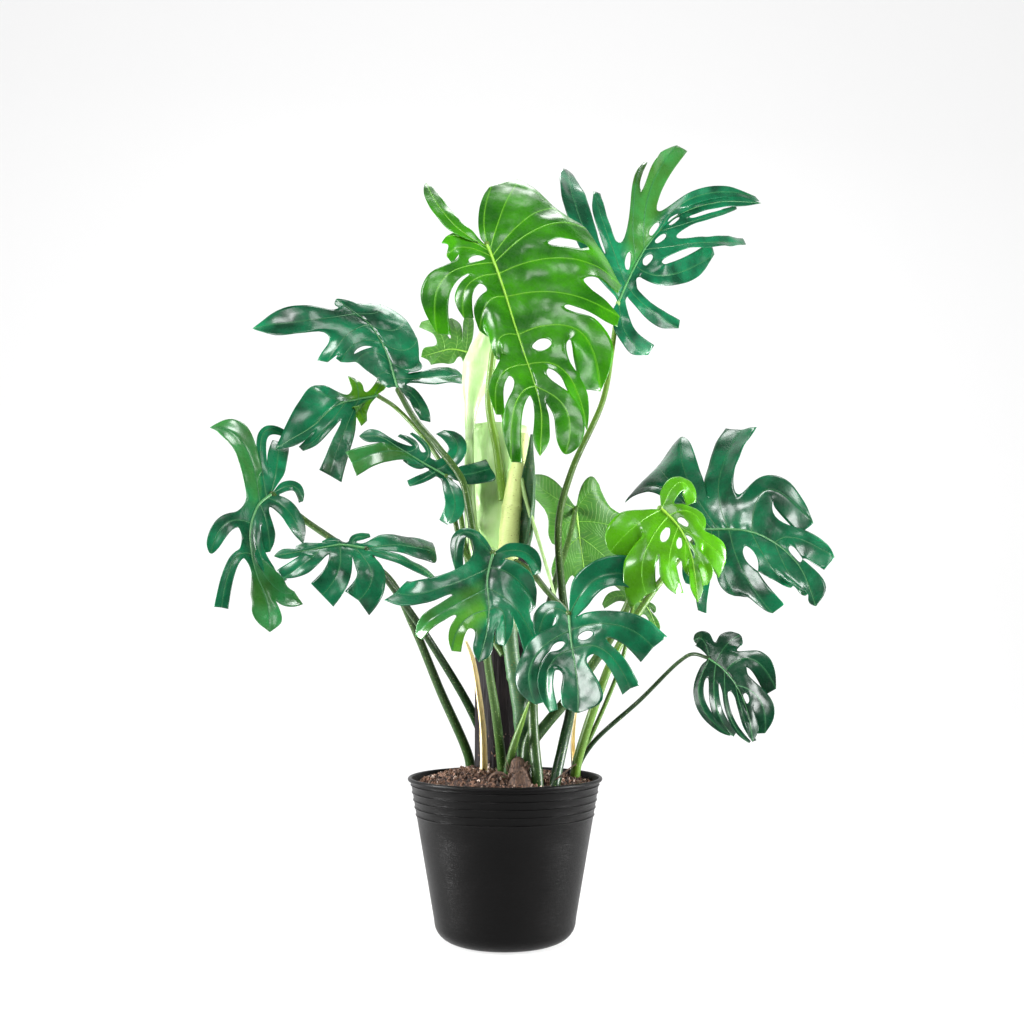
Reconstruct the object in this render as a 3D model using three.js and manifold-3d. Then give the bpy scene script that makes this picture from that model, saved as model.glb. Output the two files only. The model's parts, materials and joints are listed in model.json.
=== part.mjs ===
import * as THREE from 'three';
import { mergeVertices } from 'three/addons/utils/BufferGeometryUtils.js';
import Module from 'manifold-3d';

// A swiss cheese plant in a black nursery pot, climbing a dark support pole.
// Millimetres, +Z up. The origin is the centre of the pot's foot on the ground, and the
// front of the plant faces -Y.

// Driving dimensions, in millimetres
const GAP = 0.3;
const POT_RIM_RADIUS = 147.5;
const POT_HEIGHT = 239;
const POT_SHOULDER_RADIUS = 106;
const POT_SHOULDER_HEIGHT = 28;
const POT_FOOT_RADIUS = 75;
const POT_TAPER = 0.18;
const POT_WALL = 3;
const POT_LIP_HEIGHT = 6;
const POT_LIP_DEPTH = 6;
const POT_LIP_ROUNDING = 1;
const RIB_PITCH = 11.1;
const RIB_COUNT = 5;
const RIB_TOP = 228;
const RIB_DEPTH = 1;
const RIB_SLOPE_HEIGHT = 4;
const DRAIN_RADIUS = 7;
const DRAIN_CIRCLE = 52;
const DRAIN_COUNT = 6;
const SOIL_EDGE_HEIGHT = 232;
const SOIL_MOUND = 22;
const SOIL_SLOPE = 0.06;
const POLE_RADIUS = 42;
const POLE_TOP = 706;
const POLE_FOOT = 90;
const POLE_CHAMFER = 3;
const POLE_PLACE = [-6, 30];
const BLADE_THICKNESS = 1.6;
const ROOTING_DEPTH = 34;

// How finely round pieces are divided
const POT_SEGMENTS = 32;
const POLE_SEGMENTS = 24;
const DRAIN_SEGMENTS = 10;
const STALK_SIDES = 8;
const STEM_SIDES = 10;
const STALK_STEPS = 10;
const STEM_STEPS = 14;
const NEW_LEAF_STEPS = 16;
const SHOOT_STEPS = 7;
const AERIAL_ROOT_STEPS = 6;
const STUB_STEPS = 4;

// The view that the places of stalks and leaves are read from: an eye level with the upper
// half of the pot, pitched up a little. A place is a pixel of that view and a depth.
const EYE = new THREE.Vector3(10.5, -1800, 438);
const EYE_PITCH = THREE.MathUtils.degToRad(6.5);
const FOCAL_PIXELS = 1161;
const VIEW_MIDDLE = 512;
const MM_PER_PIXEL = 1.55;

// A stalk whose first place is lower in the view than this leaves the soil, and not the stem
const SOIL_LINE = 740;

const wasm = await Module();
wasm.setup();

const v3 = (x, y, z) => new THREE.Vector3(x, y, z);

// The point that the view shows at a pixel, at a depth y in millimetres
function seen(px, py, y) {
  const right = (px - VIEW_MIDDLE) / FOCAL_PIXELS;
  const up = (VIEW_MIDDLE - py) / FOCAL_PIXELS;
  const ray = v3(
    right,
    Math.cos(EYE_PITCH) - up * Math.sin(EYE_PITCH),
    Math.sin(EYE_PITCH) + up * Math.cos(EYE_PITCH),
  );
  return ray.multiplyScalar((y - EYE.y) / ray.y).add(EYE);
}

// Materials
const finish = (color, roughness, metalness = 0) =>
  new THREE.MeshStandardMaterial({ color, roughness, metalness });

const FINISHES = {
  pot: finish(0x1c1b1a, 0.42),
  soil: finish(0x4a3026, 0.95),
  pole: finish(0x241c1e, 0.6),
  stem: finish(0x9db45c, 0.5),
  sheath: finish(0xd9b979, 0.8),
  root: finish(0x7d6440, 0.85),
  bud: finish(0xcfdf9b, 0.45),
  bright: finish(0x4fa81f, 0.3),
  dark: finish(0x17543a, 0.28),
  under: finish(0x5d961f, 0.5),
  stalk: finish(0x3c6b2b, 0.45),
};

// Corners nearer than this are one corner
const SAME_PLACE = 1e-3;

// Solids: joins and cuts between closed meshes
function toSolid(geometry) {
  const bare = geometry.clone();
  bare.deleteAttribute('normal');
  bare.deleteAttribute('uv');
  const merged = mergeVertices(bare, SAME_PLACE);
  return new wasm.Manifold(new wasm.Mesh({
    numProp: 3,
    vertProperties: new Float32Array(merged.attributes.position.array),
    triVerts: new Uint32Array(merged.index.array),
  }));
}

function toGeometry(solid) {
  const mesh = solid.getMesh();
  const geometry = new THREE.BufferGeometry();
  geometry.setAttribute('position', new THREE.BufferAttribute(mesh.vertProperties, 3));
  geometry.setIndex(new THREE.BufferAttribute(mesh.triVerts, 1));
  geometry.computeVertexNormals();
  return geometry;
}

// A cut can leave crumbs beside the piece, and the piece is the largest of them
function largest(solid) {
  const pieces = solid.decompose();
  return pieces.reduce((best, piece) => (piece.volume() > best.volume() ? piece : best));
}

// A round stalk along a curve, with its radii evenly spaced from the first end to the last
function taperedTube(points, radii, steps, sides = STALK_SIDES) {
  const curve = new THREE.CatmullRomCurve3(points, false, 'centripetal');
  const section = new THREE.Shape();
  for (let i = 0; i < sides; i++) {
    const angle = (2 * Math.PI * i) / sides;
    if (i === 0) section.moveTo(1, 0);
    else section.lineTo(Math.cos(angle), Math.sin(angle));
  }
  section.closePath();
  const geometry = new THREE.ExtrudeGeometry(section, { steps, extrudePath: curve });
  const centres = curve.getSpacedPoints(steps);
  const position = geometry.attributes.position;
  const point = v3();
  for (let i = 0; i < position.count; i++) {
    point.fromBufferAttribute(position, i);
    const onRing = (centre) => Math.abs(centre.distanceTo(point) - 1) < SAME_PLACE;
    const ring = centres.findIndex(onRing);
    const place = (ring / steps) * (radii.length - 1);
    const from = Math.min(Math.floor(place), radii.length - 2);
    const radius = THREE.MathUtils.lerp(radii[from], radii[from + 1], place - from);
    point.sub(centres[ring]).multiplyScalar(radius).add(centres[ring]);
    position.setXYZ(i, point.x, point.y, point.z);
  }
  return geometry;
}

// Turning a profile of [radius, height] pairs into a solid about +Z
function turned(profile, segments) {
  const points = profile.map(([radius, height]) => new THREE.Vector2(radius, height));
  return new THREE.LatheGeometry(points, segments).rotateX(Math.PI / 2);
}

// Pot
// The fillet round the foot has a corner at each of these turns, in degrees. Inside, the floor
// meets the wall in a corner that is further out and higher than the foot's edge.
const FILLET_TURNS = [25, 50, 75];
const INNER_TURN = [12, 8];
const INNER_FOOT = 4;
const DRAIN_CUT_REACH = 10;

const potWallRadius = (z) => POT_SHOULDER_RADIUS + POT_TAPER * (z - POT_SHOULDER_HEIGHT);

function potGeometry() {
  const corner = POT_SHOULDER_RADIUS - POT_FOOT_RADIUS;
  const outer = [[0, 0], [POT_FOOT_RADIUS, 0]];
  for (const turn of FILLET_TURNS) {
    const angle = THREE.MathUtils.degToRad(turn);
    outer.push([
      POT_FOOT_RADIUS + corner * Math.sin(angle),
      POT_SHOULDER_HEIGHT * (1 - Math.cos(angle)),
    ]);
  }
  outer.push([POT_SHOULDER_RADIUS, POT_SHOULDER_HEIGHT]);
  for (let i = RIB_COUNT - 1; i >= 0; i--) {
    const z = RIB_TOP - i * RIB_PITCH;
    const start = z - RIB_SLOPE_HEIGHT;
    outer.push([potWallRadius(start), start], [potWallRadius(z) + RIB_DEPTH, z]);
  }
  const band = RIB_TOP + RIB_SLOPE_HEIGHT / 2;
  const lipTop = POT_HEIGHT - POT_LIP_ROUNDING;
  outer.push(
    [potWallRadius(band), band],
    [POT_RIM_RADIUS, POT_HEIGHT - POT_LIP_HEIGHT],
    [POT_RIM_RADIUS, lipTop],
    [POT_RIM_RADIUS - 2 * POT_LIP_ROUNDING, POT_HEIGHT],
    [POT_RIM_RADIUS - POT_LIP_DEPTH, lipTop],
  );
  const [turnRadius, turnHeight] = INNER_TURN;
  const inner = [
    [potWallRadius(RIB_TOP) - POT_WALL, RIB_TOP],
    [POT_SHOULDER_RADIUS - POT_WALL, POT_SHOULDER_HEIGHT],
    [POT_FOOT_RADIUS + turnRadius, turnHeight],
    [POT_FOOT_RADIUS - INNER_FOOT, POT_WALL],
    [0, POT_WALL],
  ];
  let pot = toSolid(turned([...outer, ...inner], POT_SEGMENTS));
  for (let i = 0; i < DRAIN_COUNT; i++) {
    const angle = (2 * Math.PI * i) / DRAIN_COUNT;
    const depth = 2 * DRAIN_CUT_REACH;
    const hole = new THREE.CylinderGeometry(DRAIN_RADIUS, DRAIN_RADIUS, depth, DRAIN_SEGMENTS);
    hole.rotateX(Math.PI / 2);
    hole.translate(DRAIN_CIRCLE * Math.cos(angle), DRAIN_CIRCLE * Math.sin(angle), 0);
    pot = pot.subtract(toSolid(hole));
  }
  return toGeometry(pot);
}

// Soil: a mound inside the pot, higher at the left, with a socket for each stalk. Its top has
// rings of corners at these radii, and the mound is level from its edge outwards.
const MOUND_EDGE = POT_RIM_RADIUS - 12;
const MOUND_RINGS = [112, 78, 40, 0];
const MOUND_LIFT = 1;
const SOIL_SLACK = 0.5;
const SOIL_FOOT_TURN = [10, 9];
const SOIL_FOOT_INSET = 6;

function soilHeight(x, y) {
  const reach = Math.min(1, Math.hypot(x, y) / MOUND_EDGE);
  return SOIL_EDGE_HEIGHT + (SOIL_MOUND - SOIL_SLOPE * x) * (1 - reach ** 2);
}

function soilGeometry(sockets) {
  const room = POT_WALL + GAP;
  const [turnRadius, turnHeight] = SOIL_FOOT_TURN;
  const edge = potWallRadius(RIB_TOP) - room - SOIL_SLACK;
  const profile = [
    [0, room],
    [POT_FOOT_RADIUS - SOIL_FOOT_INSET, room],
    [POT_FOOT_RADIUS + turnRadius, turnHeight],
    [POT_SHOULDER_RADIUS - room - 2 * SOIL_SLACK, POT_SHOULDER_HEIGHT + 4 * SOIL_SLACK],
    [edge, RIB_TOP],
    [edge, SOIL_EDGE_HEIGHT - MOUND_LIFT],
    ...MOUND_RINGS.map((radius) => [radius, SOIL_EDGE_HEIGHT + MOUND_LIFT]),
  ];
  const geometry = turned(profile, POT_SEGMENTS);
  const position = geometry.attributes.position;
  for (let i = 0; i < position.count; i++) {
    if (position.getZ(i) > SOIL_EDGE_HEIGHT) {
      position.setZ(i, soilHeight(position.getX(i), position.getY(i)));
    }
  }
  let soil = toSolid(geometry);
  for (const socket of sockets) soil = soil.subtract(socket);
  return toGeometry(largest(soil));
}

// Leaf blades
// A blade is one sheet of quads: side veins leave the midrib on both sides, a lobe lies along
// each, neighbours share their margin near the midrib and part at a slit, and a hole is a place
// where the shared margin opens and closes again. The sheet then gets its thickness.

// Fractions of a side vein's length at which the sheet has a row of corners
const ROWS = [0, 0.16, 0.28, 0.52, 0.86, 1];
const HOLED_ROWS = [0, 0.06, 0.16, 0.28, 0.4, 0.6, 0.86, 1];
const DEEP_ROWS = [0, 0.04, 0.1, 0.17, 0.25, 0.48, 0.78, 1];
const SMALL_ROWS = [0, 0.25, 0.6, 1];
const HOLE_WIDTH = 0.5;

// tip: where the lobe ends in the view. width: its half width in mm. via: where its vein passes
// halfway. slit: the fraction of its vein where it parts from the next lobe, 1 where it never
// does. hole: the row, as a fraction of its vein, where a hole opens between it and the next lobe.
// back: how far its tip lies behind the leaf's plane, in mm. blunt: how square its end is.
const lobe = (tip, width, options = {}) => ({ tip, width, slit: 0.28, blunt: 2.6, ...options });

const LEAVES = [
  {
    name: 'top_front', finish: 'bright', depth: -130, slope: [0.3, -0.8], rows: HOLED_ROWS,
    midrib: [[487, 244], [503, 287], [518, 335], [532, 377], [541, 410], [540, 456]],
    ribs: [0.015, 0.035, 0.06, 0.09, 0.14, 0.24, 0.4, 0.54, 0.66], end: 0.76, width: 16, blunt: 3,
    lobes: [
      [
        lobe([491, 188], 8, { via: [484, 218], slit: 1, blunt: 4 }),
        lobe([520, 178], 30, { via: [504, 206], slit: 1 }),
        lobe([557, 208], 30, { via: [527, 218], slit: 1 }),
        lobe([588, 224], 26, { via: [543, 226], slit: 1, hole: 0.6 }),
        lobe([622, 285], 40, { via: [568, 258], slit: 0.4, blunt: 3 }),
        lobe([619, 319], 20, { via: [566, 294], slit: 0.4, blunt: 2.6 }),
        lobe([602, 392], 34, { via: [576, 332], slit: 0.4, blunt: 3.2, hole: 0.16 }),
        lobe([589, 426], 22, { via: [566, 370], slit: 0.28, blunt: 2.6 }),
        lobe([564, 461], 22, { via: [566, 412], slit: 0.28, blunt: 3 }),
      ],
      [
        lobe([425, 176], 11, { via: [449, 219], slit: 0.16 }),
        lobe([446, 234], 10, { via: [462, 237], slit: 0.86 }),
        lobe([447, 254], 12, { via: [464, 247], slit: 0.4, hole: 0.16 }),
        lobe([438, 330], 21, { via: [443, 279], slit: 0.28, blunt: 3 }),
        lobe([464, 318], 12, { via: [468, 285], slit: 0.28 }),
        lobe([480, 328], 14, { via: [488, 302], slit: 0.86, blunt: 3 }),
        lobe([497, 360], 14, { via: [500, 338], slit: 0.4, blunt: 3 }),
        lobe([503, 420], 13, { via: [502, 378], slit: 0.28, blunt: 2.6 }),
        lobe([511, 463], 20, { via: [517, 405], slit: 0.28, blunt: 3 }),
      ],
    ],
    stalk: {
      path: [
        [503, 500, -36], [497, 450, -34], [489, 405, -44], [492, 360, -70], [498, 320, -92],
        [493, 275, -112],
      ],
      radii: [7, 5.5, 4.5],
    },
  },
  {
    name: 'top_right', finish: 'dark', depth: 120, slope: [0.8, -0.5], rows: DEEP_ROWS,
    midrib: [[618, 303], [634, 268], [652, 239], [680, 214], [720, 202], [761, 203]],
    ribs: [0.02, 0.1, 0.22, 0.32, 0.45], end: 0.56, width: 11,
    lobes: [
      [
        lobe([576, 158], 26, { via: [581, 216], slit: 0.25, blunt: 2.6 }),
        lobe([593, 192], 11, { via: [608, 236], slit: 0.25, hole: 0.1 }),
        lobe([648, 158], 6, { via: [634, 196], slit: 0.78 }),
        lobe([682, 143], 18, { via: [650, 190], slit: 0.25, blunt: 3.5, hole: 0.1 }),
        lobe([757, 195], 8, { via: [697, 196], slit: 0.25, hole: 0.1 }),
      ],
      [
        lobe([647, 356], 17, { via: [625, 332], slit: 0.1 }),
        lobe([678, 329], 12, { via: [648, 308], slit: 0.1 }),
        lobe([719, 250], 15, { via: [670, 275], slit: 0.25, hole: 0.1 }),
        lobe([753, 238], 8, { via: [695, 243], slit: 0.25, hole: 0.1 }),
        lobe([738, 208], 6, { via: [700, 219], slit: 0.25, hole: 0.1 }),
      ],
    ],
    stalk: {
      path: [
        [555, 783, -88], [563, 745, -66], [571, 705, -22], [572, 660, 12], [562, 590, 44],
        [559, 520, 72], [572, 470, 90], [603, 400, 112], [612, 350, 122],
      ],
      radii: [8, 6, 4],
    },
  },
  {
    name: 'upper_left', finish: 'dark', depth: 10, slope: [0.5, -0.8],
    midrib: [[398, 390], [386, 352], [370, 325], [352, 311], [336, 299]],
    ribs: [0.02, 0.07, 0.18, 0.32, 0.5, 0.7], end: 0.8, width: 14,
    lobes: [
      [
        lobe([420, 416], 9, { via: [416, 399], slit: 0.16, back: 12 }),
        lobe([464, 374], 16, { via: [428, 378], slit: 0.28, blunt: 3.5 }),
        lobe([419, 362], 14, { via: [410, 370], slit: 1 }),
        lobe([418, 338], 18, { via: [405, 350], slit: 1 }),
        lobe([405, 315], 18, { via: [395, 330], slit: 1 }),
        lobe([380, 303], 18, { via: [378, 312], slit: 0.86 }),
      ],
      [
        lobe([385, 386], 7, { via: [391, 385], slit: 1 }),
        lobe([376, 377], 10, { via: [386, 372], slit: 1 }),
        lobe([356, 362], 14, { via: [371, 352], slit: 1 }),
        lobe([341, 361], 14, { via: [358, 342], slit: 0.86 }),
        lobe([328, 360], 14, { via: [348, 334], slit: 0.52 }),
        lobe([254, 326], 32, { via: [303, 321], slit: 0.28, blunt: 2.6 }),
      ],
    ],
    stalk: {
      path: [
        [503, 628, -56], [489, 590, -74], [475, 545, -78], [470, 514, -78], [462, 480, -76],
        [437, 446, -66], [414, 418, -26],
      ],
      radii: [7, 5.5, 4.5],
    },
  },
  {
    name: 'hanging_left', finish: 'dark', depth: 40, slope: [0.9, -0.5], rows: SMALL_ROWS,
    midrib: [[378, 396], [356, 400], [336, 405], [314, 425], [275, 449]],
    ribs: [0.05, 0.22, 0.38], end: 0.5, width: 21, blunt: 3.5,
    lobes: [
      [
        lobe([383, 381], 8, { via: [379, 388], slit: 0.16 }),
        lobe([357, 378], 7, { via: [358, 389], slit: 0.16 }),
        lobe([310, 384], 13, { via: [328, 396], slit: 0.6, blunt: 3 }),
      ],
      [
        lobe([366, 421], 17, { via: [361, 408], slit: 0.16, blunt: 3 }),
        lobe([334, 474], 22, { via: [348, 440], slit: 0.25, blunt: 3 }),
        lobe([318, 462], 19, { via: [328, 430], slit: 0.25, blunt: 3 }),
      ],
    ],
    stalk: {
      path: [
        [503, 655, -54], [487, 628, -42], [474, 590, -22], [465, 548, 2], [460, 512, 20],
        [450, 480, 36], [434, 452, 48], [414, 426, 72], [395, 407, 80],
      ],
      radii: [5, 4, 3.5],
    },
  },
  {
    name: 'far_left', finish: 'dark', depth: -90, slope: [0.8, -0.6],
    midrib: [[272, 494], [258, 506], [250, 532], [255, 570], [267, 600], [270, 632]],
    ribs: [0.02, 0.07, 0.17, 0.34, 0.52], end: 0.66, width: 30, blunt: 4,
    lobes: [
      [
        lobe([304, 500], 9, { via: [292, 486], slit: 0.16 }),
        lobe([306, 544], 19, { via: [293, 513], slit: 0.06 }),
        lobe([270, 552], 10, { via: [267, 525], slit: 0.16 }),
        lobe([283, 572], 10, { via: [266, 566], slit: 0.16 }),
        lobe([294, 592], 16, { via: [276, 588], slit: 0.52 }),
      ],
      [
        lobe([279, 448], 15, { via: [276, 470], slit: 0.16, blunt: 6 }),
        lobe([286, 438], 8, { via: [262, 436], slit: 0.06 }),
        lobe([213, 426], 18, { via: [246, 446], slit: 0.06 }),
        lobe([211, 555], 12, { via: [225, 524], slit: 0.16, blunt: 5 }),
        lobe([224, 609], 9, { via: [233, 562], slit: 0.16, blunt: 6 }),
      ],
    ],
    stalk: {
      path: [
        [469, 758, 80], [440, 690, 50], [413, 625, 0], [388, 578, -40], [338, 543, -60],
        [303, 519, -66],
      ],
      radii: [8, 6, 4.5],
    },
  },
  {
    name: 'lower_left', finish: 'dark', depth: -120, slope: [0.6, -0.9],
    midrib: [[366, 549], [340, 545], [310, 550], [274, 556]],
    ribs: [0.02, 0.16, 0.34, 0.55], end: 0.7, width: 8,
    lobes: [
      [
        lobe([437, 544], 24, { via: [402, 546], slit: 0.16, blunt: 7 }),
        lobe([371, 536], 6, { via: [355, 538], slit: 0.16 }),
        lobe([322, 541], 5, { via: [336, 541], slit: 0.4 }),
        lobe([296, 546], 5, { via: [310, 546], slit: 0.4 }),
      ],
      [
        lobe([440, 577], 11, { via: [406, 561], slit: 0.16, back: 22 }),
        lobe([348, 602], 17, { via: [374, 575], slit: 0.16 }),
        lobe([306, 597], 18, { via: [334, 574], slit: 0.16 }),
        lobe([292, 578], 12, { via: [312, 563], slit: 0.28 }),
      ],
    ],
    stalk: {
      path: [
        [490, 757, 88], [472, 712, 60], [433, 646, 10], [404, 603, -44], [380, 570, -92],
      ],
      radii: [8, 6, 4.5],
    },
  },
  {
    name: 'middle_left', finish: 'dark', depth: -50, slope: [0.05, -0.4],
    midrib: [[446, 476], [425, 464], [402, 450], [380, 437], [359, 436]],
    ribs: [0.02, 0.12, 0.28, 0.46], end: 0.62, width: 9,
    lobes: [
      [
        lobe([490, 467], 18, { via: [468, 474], slit: 0.16, blunt: 3.5, back: 2 }),
        lobe([442, 430], 10, { via: [455, 450], slit: 0.16 }),
        lobe([412, 431], 4, { via: [428, 450], slit: 0.28 }),
        lobe([400, 434], 5, { via: [416, 446], slit: 0.28 }),
      ],
      [
        lobe([447, 523], 13, { via: [455, 502], slit: 0.16 }),
        lobe([409, 485], 8, { via: [427, 477], slit: 0.16 }),
        lobe([403, 461], 5, { via: [420, 466], slit: 0.28 }),
        lobe([353, 467], 20, { via: [380, 452], slit: 0.28 }),
      ],
    ],
    stalk: {
      path: [[507, 590, -48], [485, 574, -46], [466, 556, -40], [457, 530, -34], [452, 500, -36]],
      radii: [4.5, 3.5],
    },
  },
  {
    name: 'front_left', finish: 'dark', depth: -160, slope: [0.3, -0.7],
    midrib: [[493, 553], [487, 580], [489, 610], [486, 636], [479, 662]],
    ribs: [0.02, 0.14, 0.32, 0.5], end: 0.64, width: 14,
    lobes: [
      [
        lobe([539, 571], 14, { via: [524, 552], slit: 0.16, blunt: 3 }),
        lobe([534, 606], 17, { via: [514, 577], slit: 0.86 }),
        lobe([540, 648], 22, { via: [518, 606], slit: 0.6 }),
        lobe([506, 640], 18, { via: [503, 612], slit: 0.86, blunt: 4 }),
      ],
      [
        lobe([456, 568], 19, { via: [470, 533], slit: 0.06, blunt: 3 }),
        lobe([393, 603], 28, { via: [438, 595], slit: 0.28, blunt: 4 }),
        lobe([415, 634], 15, { via: [442, 614], slit: 0.28 }),
        lobe([452, 650], 13, { via: [462, 620], slit: 0.28 }),
      ],
    ],
    stalk: {
      path: [[502, 767, -40], [496, 715, -70], [487, 655, -110], [484, 600, -138], [488, 566, -152]],
      radii: [7.5, 6, 4.5],
    },
  },
  {
    name: 'front_right', finish: 'dark', depth: -235, slope: [-0.2, -0.6], rows: HOLED_ROWS,
    midrib: [[569, 614], [571, 640], [575, 665], [578, 690], [578, 713]],
    ribs: [0.02, 0.16, 0.34], end: 0.42, width: 42, blunt: 2.6,
    lobes: [
      [
        lobe([638, 578], 27, { via: [600, 580], slit: 0.06, blunt: 3, back: 26 }),
        lobe([653, 667], 20, { via: [618, 630], slit: 0.4, blunt: 3, hole: 0.16 }),
        lobe([629, 691], 14, { via: [602, 650], slit: 0.28, blunt: 3 }),
      ],
      [
        lobe([537, 640], 14, { via: [549, 610], slit: 0.16 }),
        lobe([532, 700], 24, { via: [531, 660], slit: 0.16, hole: 0.16 }),
        lobe([549, 711], 13, { via: [549, 668], slit: 0.28 }),
      ],
    ],
    stalk: {
      path: [[512, 560, -44], [528, 569, -90], [548, 592, -180]],
      radii: [5, 4],
    },
  },
  {
    name: 'back_centre', finish: 'under', depth: 170, slope: [0.2, 0.8], rows: SMALL_ROWS,
    midrib: [[578, 512], [575, 540], [568, 588]],
    ribs: [0.02, 0.22, 0.45], end: 0.6, width: 18,
    lobes: [
      [
        lobe([600, 486], 16, { via: [590, 492], slit: 0.28 }),
        lobe([630, 524], 16, { via: [604, 524], slit: 0.28 }),
        lobe([607, 551], 15, { via: [594, 535], slit: 0.6 }),
      ],
      [
        lobe([526, 477], 16, { via: [549, 494], slit: 0.16 }),
        lobe([552, 544], 10, { via: [561, 526], slit: 0.6 }),
        lobe([556, 584], 12, { via: [563, 556], slit: 0.6 }),
      ],
    ],
    stalk: {
      path: [
        [538, 783, -90], [534, 740, -82], [533, 700, -66], [541, 640, 10], [556, 580, 90],
        [570, 535, 150],
      ],
      radii: [8.5, 7, 4],
    },
  },
  {
    name: 'bright_right', finish: 'bright', depth: -170, slope: [0.3, -0.9], rows: HOLED_ROWS,
    midrib: [[660, 508], [677, 525], [690, 550], [698, 602]],
    ribs: [0.03, 0.16, 0.36, 0.54], end: 0.68, width: 9,
    lobes: [
      [
        lobe([697, 500], 14, { via: [680, 482], slit: 0.16, blunt: 3 }),
        lobe([704, 531], 14, { via: [691, 512], slit: 0.6 }),
        lobe([727, 560], 20, { via: [707, 543], slit: 0.28, blunt: 3 }),
        lobe([709, 582], 10, { via: [703, 564], slit: 0.4, hole: 0.16 }),
      ],
      [
        lobe([610, 552], 26, { via: [635, 526], slit: 0.4, blunt: 4 }),
        lobe([650, 594], 26, { via: [644, 556], slit: 0.4, blunt: 5, hole: 0.16 }),
        lobe([676, 594], 16, { via: [669, 563], slit: 0.28, blunt: 4 }),
        lobe([690, 574], 6, { via: [686, 560], slit: 0.28 }),
      ],
    ],
    stalk: {
      path: [
        [524, 771, -60], [531, 745, -58], [548, 722, -57], [565, 702, -56], [590, 668, -54],
        [618, 625, -60], [640, 575, -92], [654, 530, -146],
      ],
      radii: [9, 7, 4],
    },
  },
  {
    name: 'dark_right', finish: 'dark', depth: 0, slope: [-0.8, -0.8],
    midrib: [[704, 530], [745, 531], [775, 543], [800, 567], [816, 606]],
    ribs: [0.02, 0.05, 0.09, 0.15, 0.3, 0.5], end: 0.66, width: 26, blunt: 3.5,
    lobes: [
      [
        lobe([623, 505], 15, { via: [658, 486], slit: 1 }),
        lobe([654, 460], 20, { via: [672, 484], slit: 1 }),
        lobe([681, 434], 22, { via: [686, 476], slit: 0.28, blunt: 4 }),
        lobe([743, 428], 32, { via: [719, 480], slit: 0.28, blunt: 8 }),
        lobe([812, 520], 17, { via: [768, 489], slit: 0.28, blunt: 3.5 }),
        lobe([835, 555], 20, { via: [797, 538], slit: 0.52, blunt: 3.5 }),
      ],
      [
        lobe([686, 584], 10, { via: [692, 558], slit: 0.16 }),
        lobe([695, 606], 12, { via: [704, 568], slit: 0.28 }),
        lobe([735, 597], 14, { via: [722, 566], slit: 0.86 }),
        lobe([773, 616], 20, { via: [744, 574], slit: 0.28, blunt: 3 }),
        lobe([791, 588], 14, { via: [770, 565], slit: 0.86 }),
        lobe([806, 596], 12, { via: [790, 576], slit: 0.86 }),
      ],
    ],
    stalk: {
      path: [
        [576, 768, 20], [585, 735, 12], [596, 702, 6], [612, 660, 8], [640, 610, 26], [676, 562, 36],
      ],
      radii: [8, 6, 4.5],
    },
  },
  {
    name: 'low_right', finish: 'dark', depth: -120, slope: [-0.4, -0.8], rows: HOLED_ROWS,
    midrib: [[708, 658], [722, 668], [736, 685], [747, 710], [753, 741]],
    ribs: [0.03, 0.14, 0.3, 0.5], end: 0.68, width: 10,
    lobes: [
      [
        lobe([695, 638], 15, { via: [706, 641], slit: 0.4, blunt: 4 }),
        lobe([741, 634], 18, { via: [727, 644], slit: 0.4, blunt: 4 }),
        lobe([776, 688], 15, { via: [752, 659], slit: 0.28 }),
        lobe([765, 733], 14, { via: [760, 700], slit: 0.4, blunt: 3.5, hole: 0.16 }),
      ],
      [
        lobe([736, 737], 6, { via: [702, 704], slit: 0.16 }),
        lobe([733, 733], 8, { via: [716, 706], slit: 0.16 }),
        lobe([749, 741], 4, { via: [729, 714], slit: 0.16 }),
        lobe([752, 739], 5, { via: [742, 712], slit: 0.28 }),
      ],
    ],
    stalk: {
      path: [[578, 768, 48], [592, 744, 40], [640, 700, 4], [680, 661, -70], [694, 654, -104]],
      radii: [4, 3.4, 2.6],
    },
  },
  {
    name: 'behind_top', finish: 'under', depth: 120, slope: [0.0, 0.5], rows: SMALL_ROWS,
    midrib: [[468, 352], [452, 349], [438, 352], [421, 357]],
    ribs: [0.05, 0.25, 0.5], end: 0.65, width: 13, blunt: 3.5,
    lobes: [
      [
        lobe([468, 312], 9, { via: [468, 330], slit: 0.06, blunt: 5 }),
        lobe([451, 318], 11, { via: [457, 334], slit: 0.06, blunt: 3 }),
        lobe([421, 322], 10, { via: [438, 330], slit: 0.06 }),
      ],
      [
        lobe([470, 370], 8, { via: [468, 362], slit: 0.16 }),
        lobe([448, 364], 8, { via: [452, 357], slit: 0.86 }),
        lobe([431, 365], 8, { via: [436, 360], slit: 0.86 }),
      ],
    ],
    stalk: {
      path: [[519, 455, -32], [509, 432, 0], [495, 392, 60], [481, 364, 104]],
      radii: [4, 3],
    },
  },
  {
    name: 'small_back', finish: 'under', depth: 110, slope: [0.0, 0.4], rows: SMALL_ROWS,
    midrib: [[634, 598], [646, 606], [659, 633]],
    ribs: [0.05, 0.4], end: 0.6, width: 7,
    lobes: [
      [
        lobe([652, 592], 6, { via: [643, 592], slit: 0.28 }),
        lobe([656, 612], 5, { via: [651, 606], slit: 0.4 }),
      ],
      [
        lobe([602, 604], 10, { via: [618, 596], slit: 0.28 }),
        lobe([632, 632], 9, { via: [634, 616], slit: 0.28 }),
      ],
    ],
    stalk: {
      path: [[574, 770, 70], [588, 742, 70], [607, 700, 70], [622, 660, 72], [630, 622, 84]],
      radii: [4, 3],
    },
  },
];

// The plane that a leaf lies near, as a depth for each pixel, and its normal toward the eye
function onLeaf(leaf, [px, py], offset = 0) {
  const [originX, originY] = leaf.midrib[0];
  const depth = leaf.depth + leaf.slope[0] * (px - originX) + leaf.slope[1] * (py - originY);
  return seen(px, py, depth + offset);
}

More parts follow.
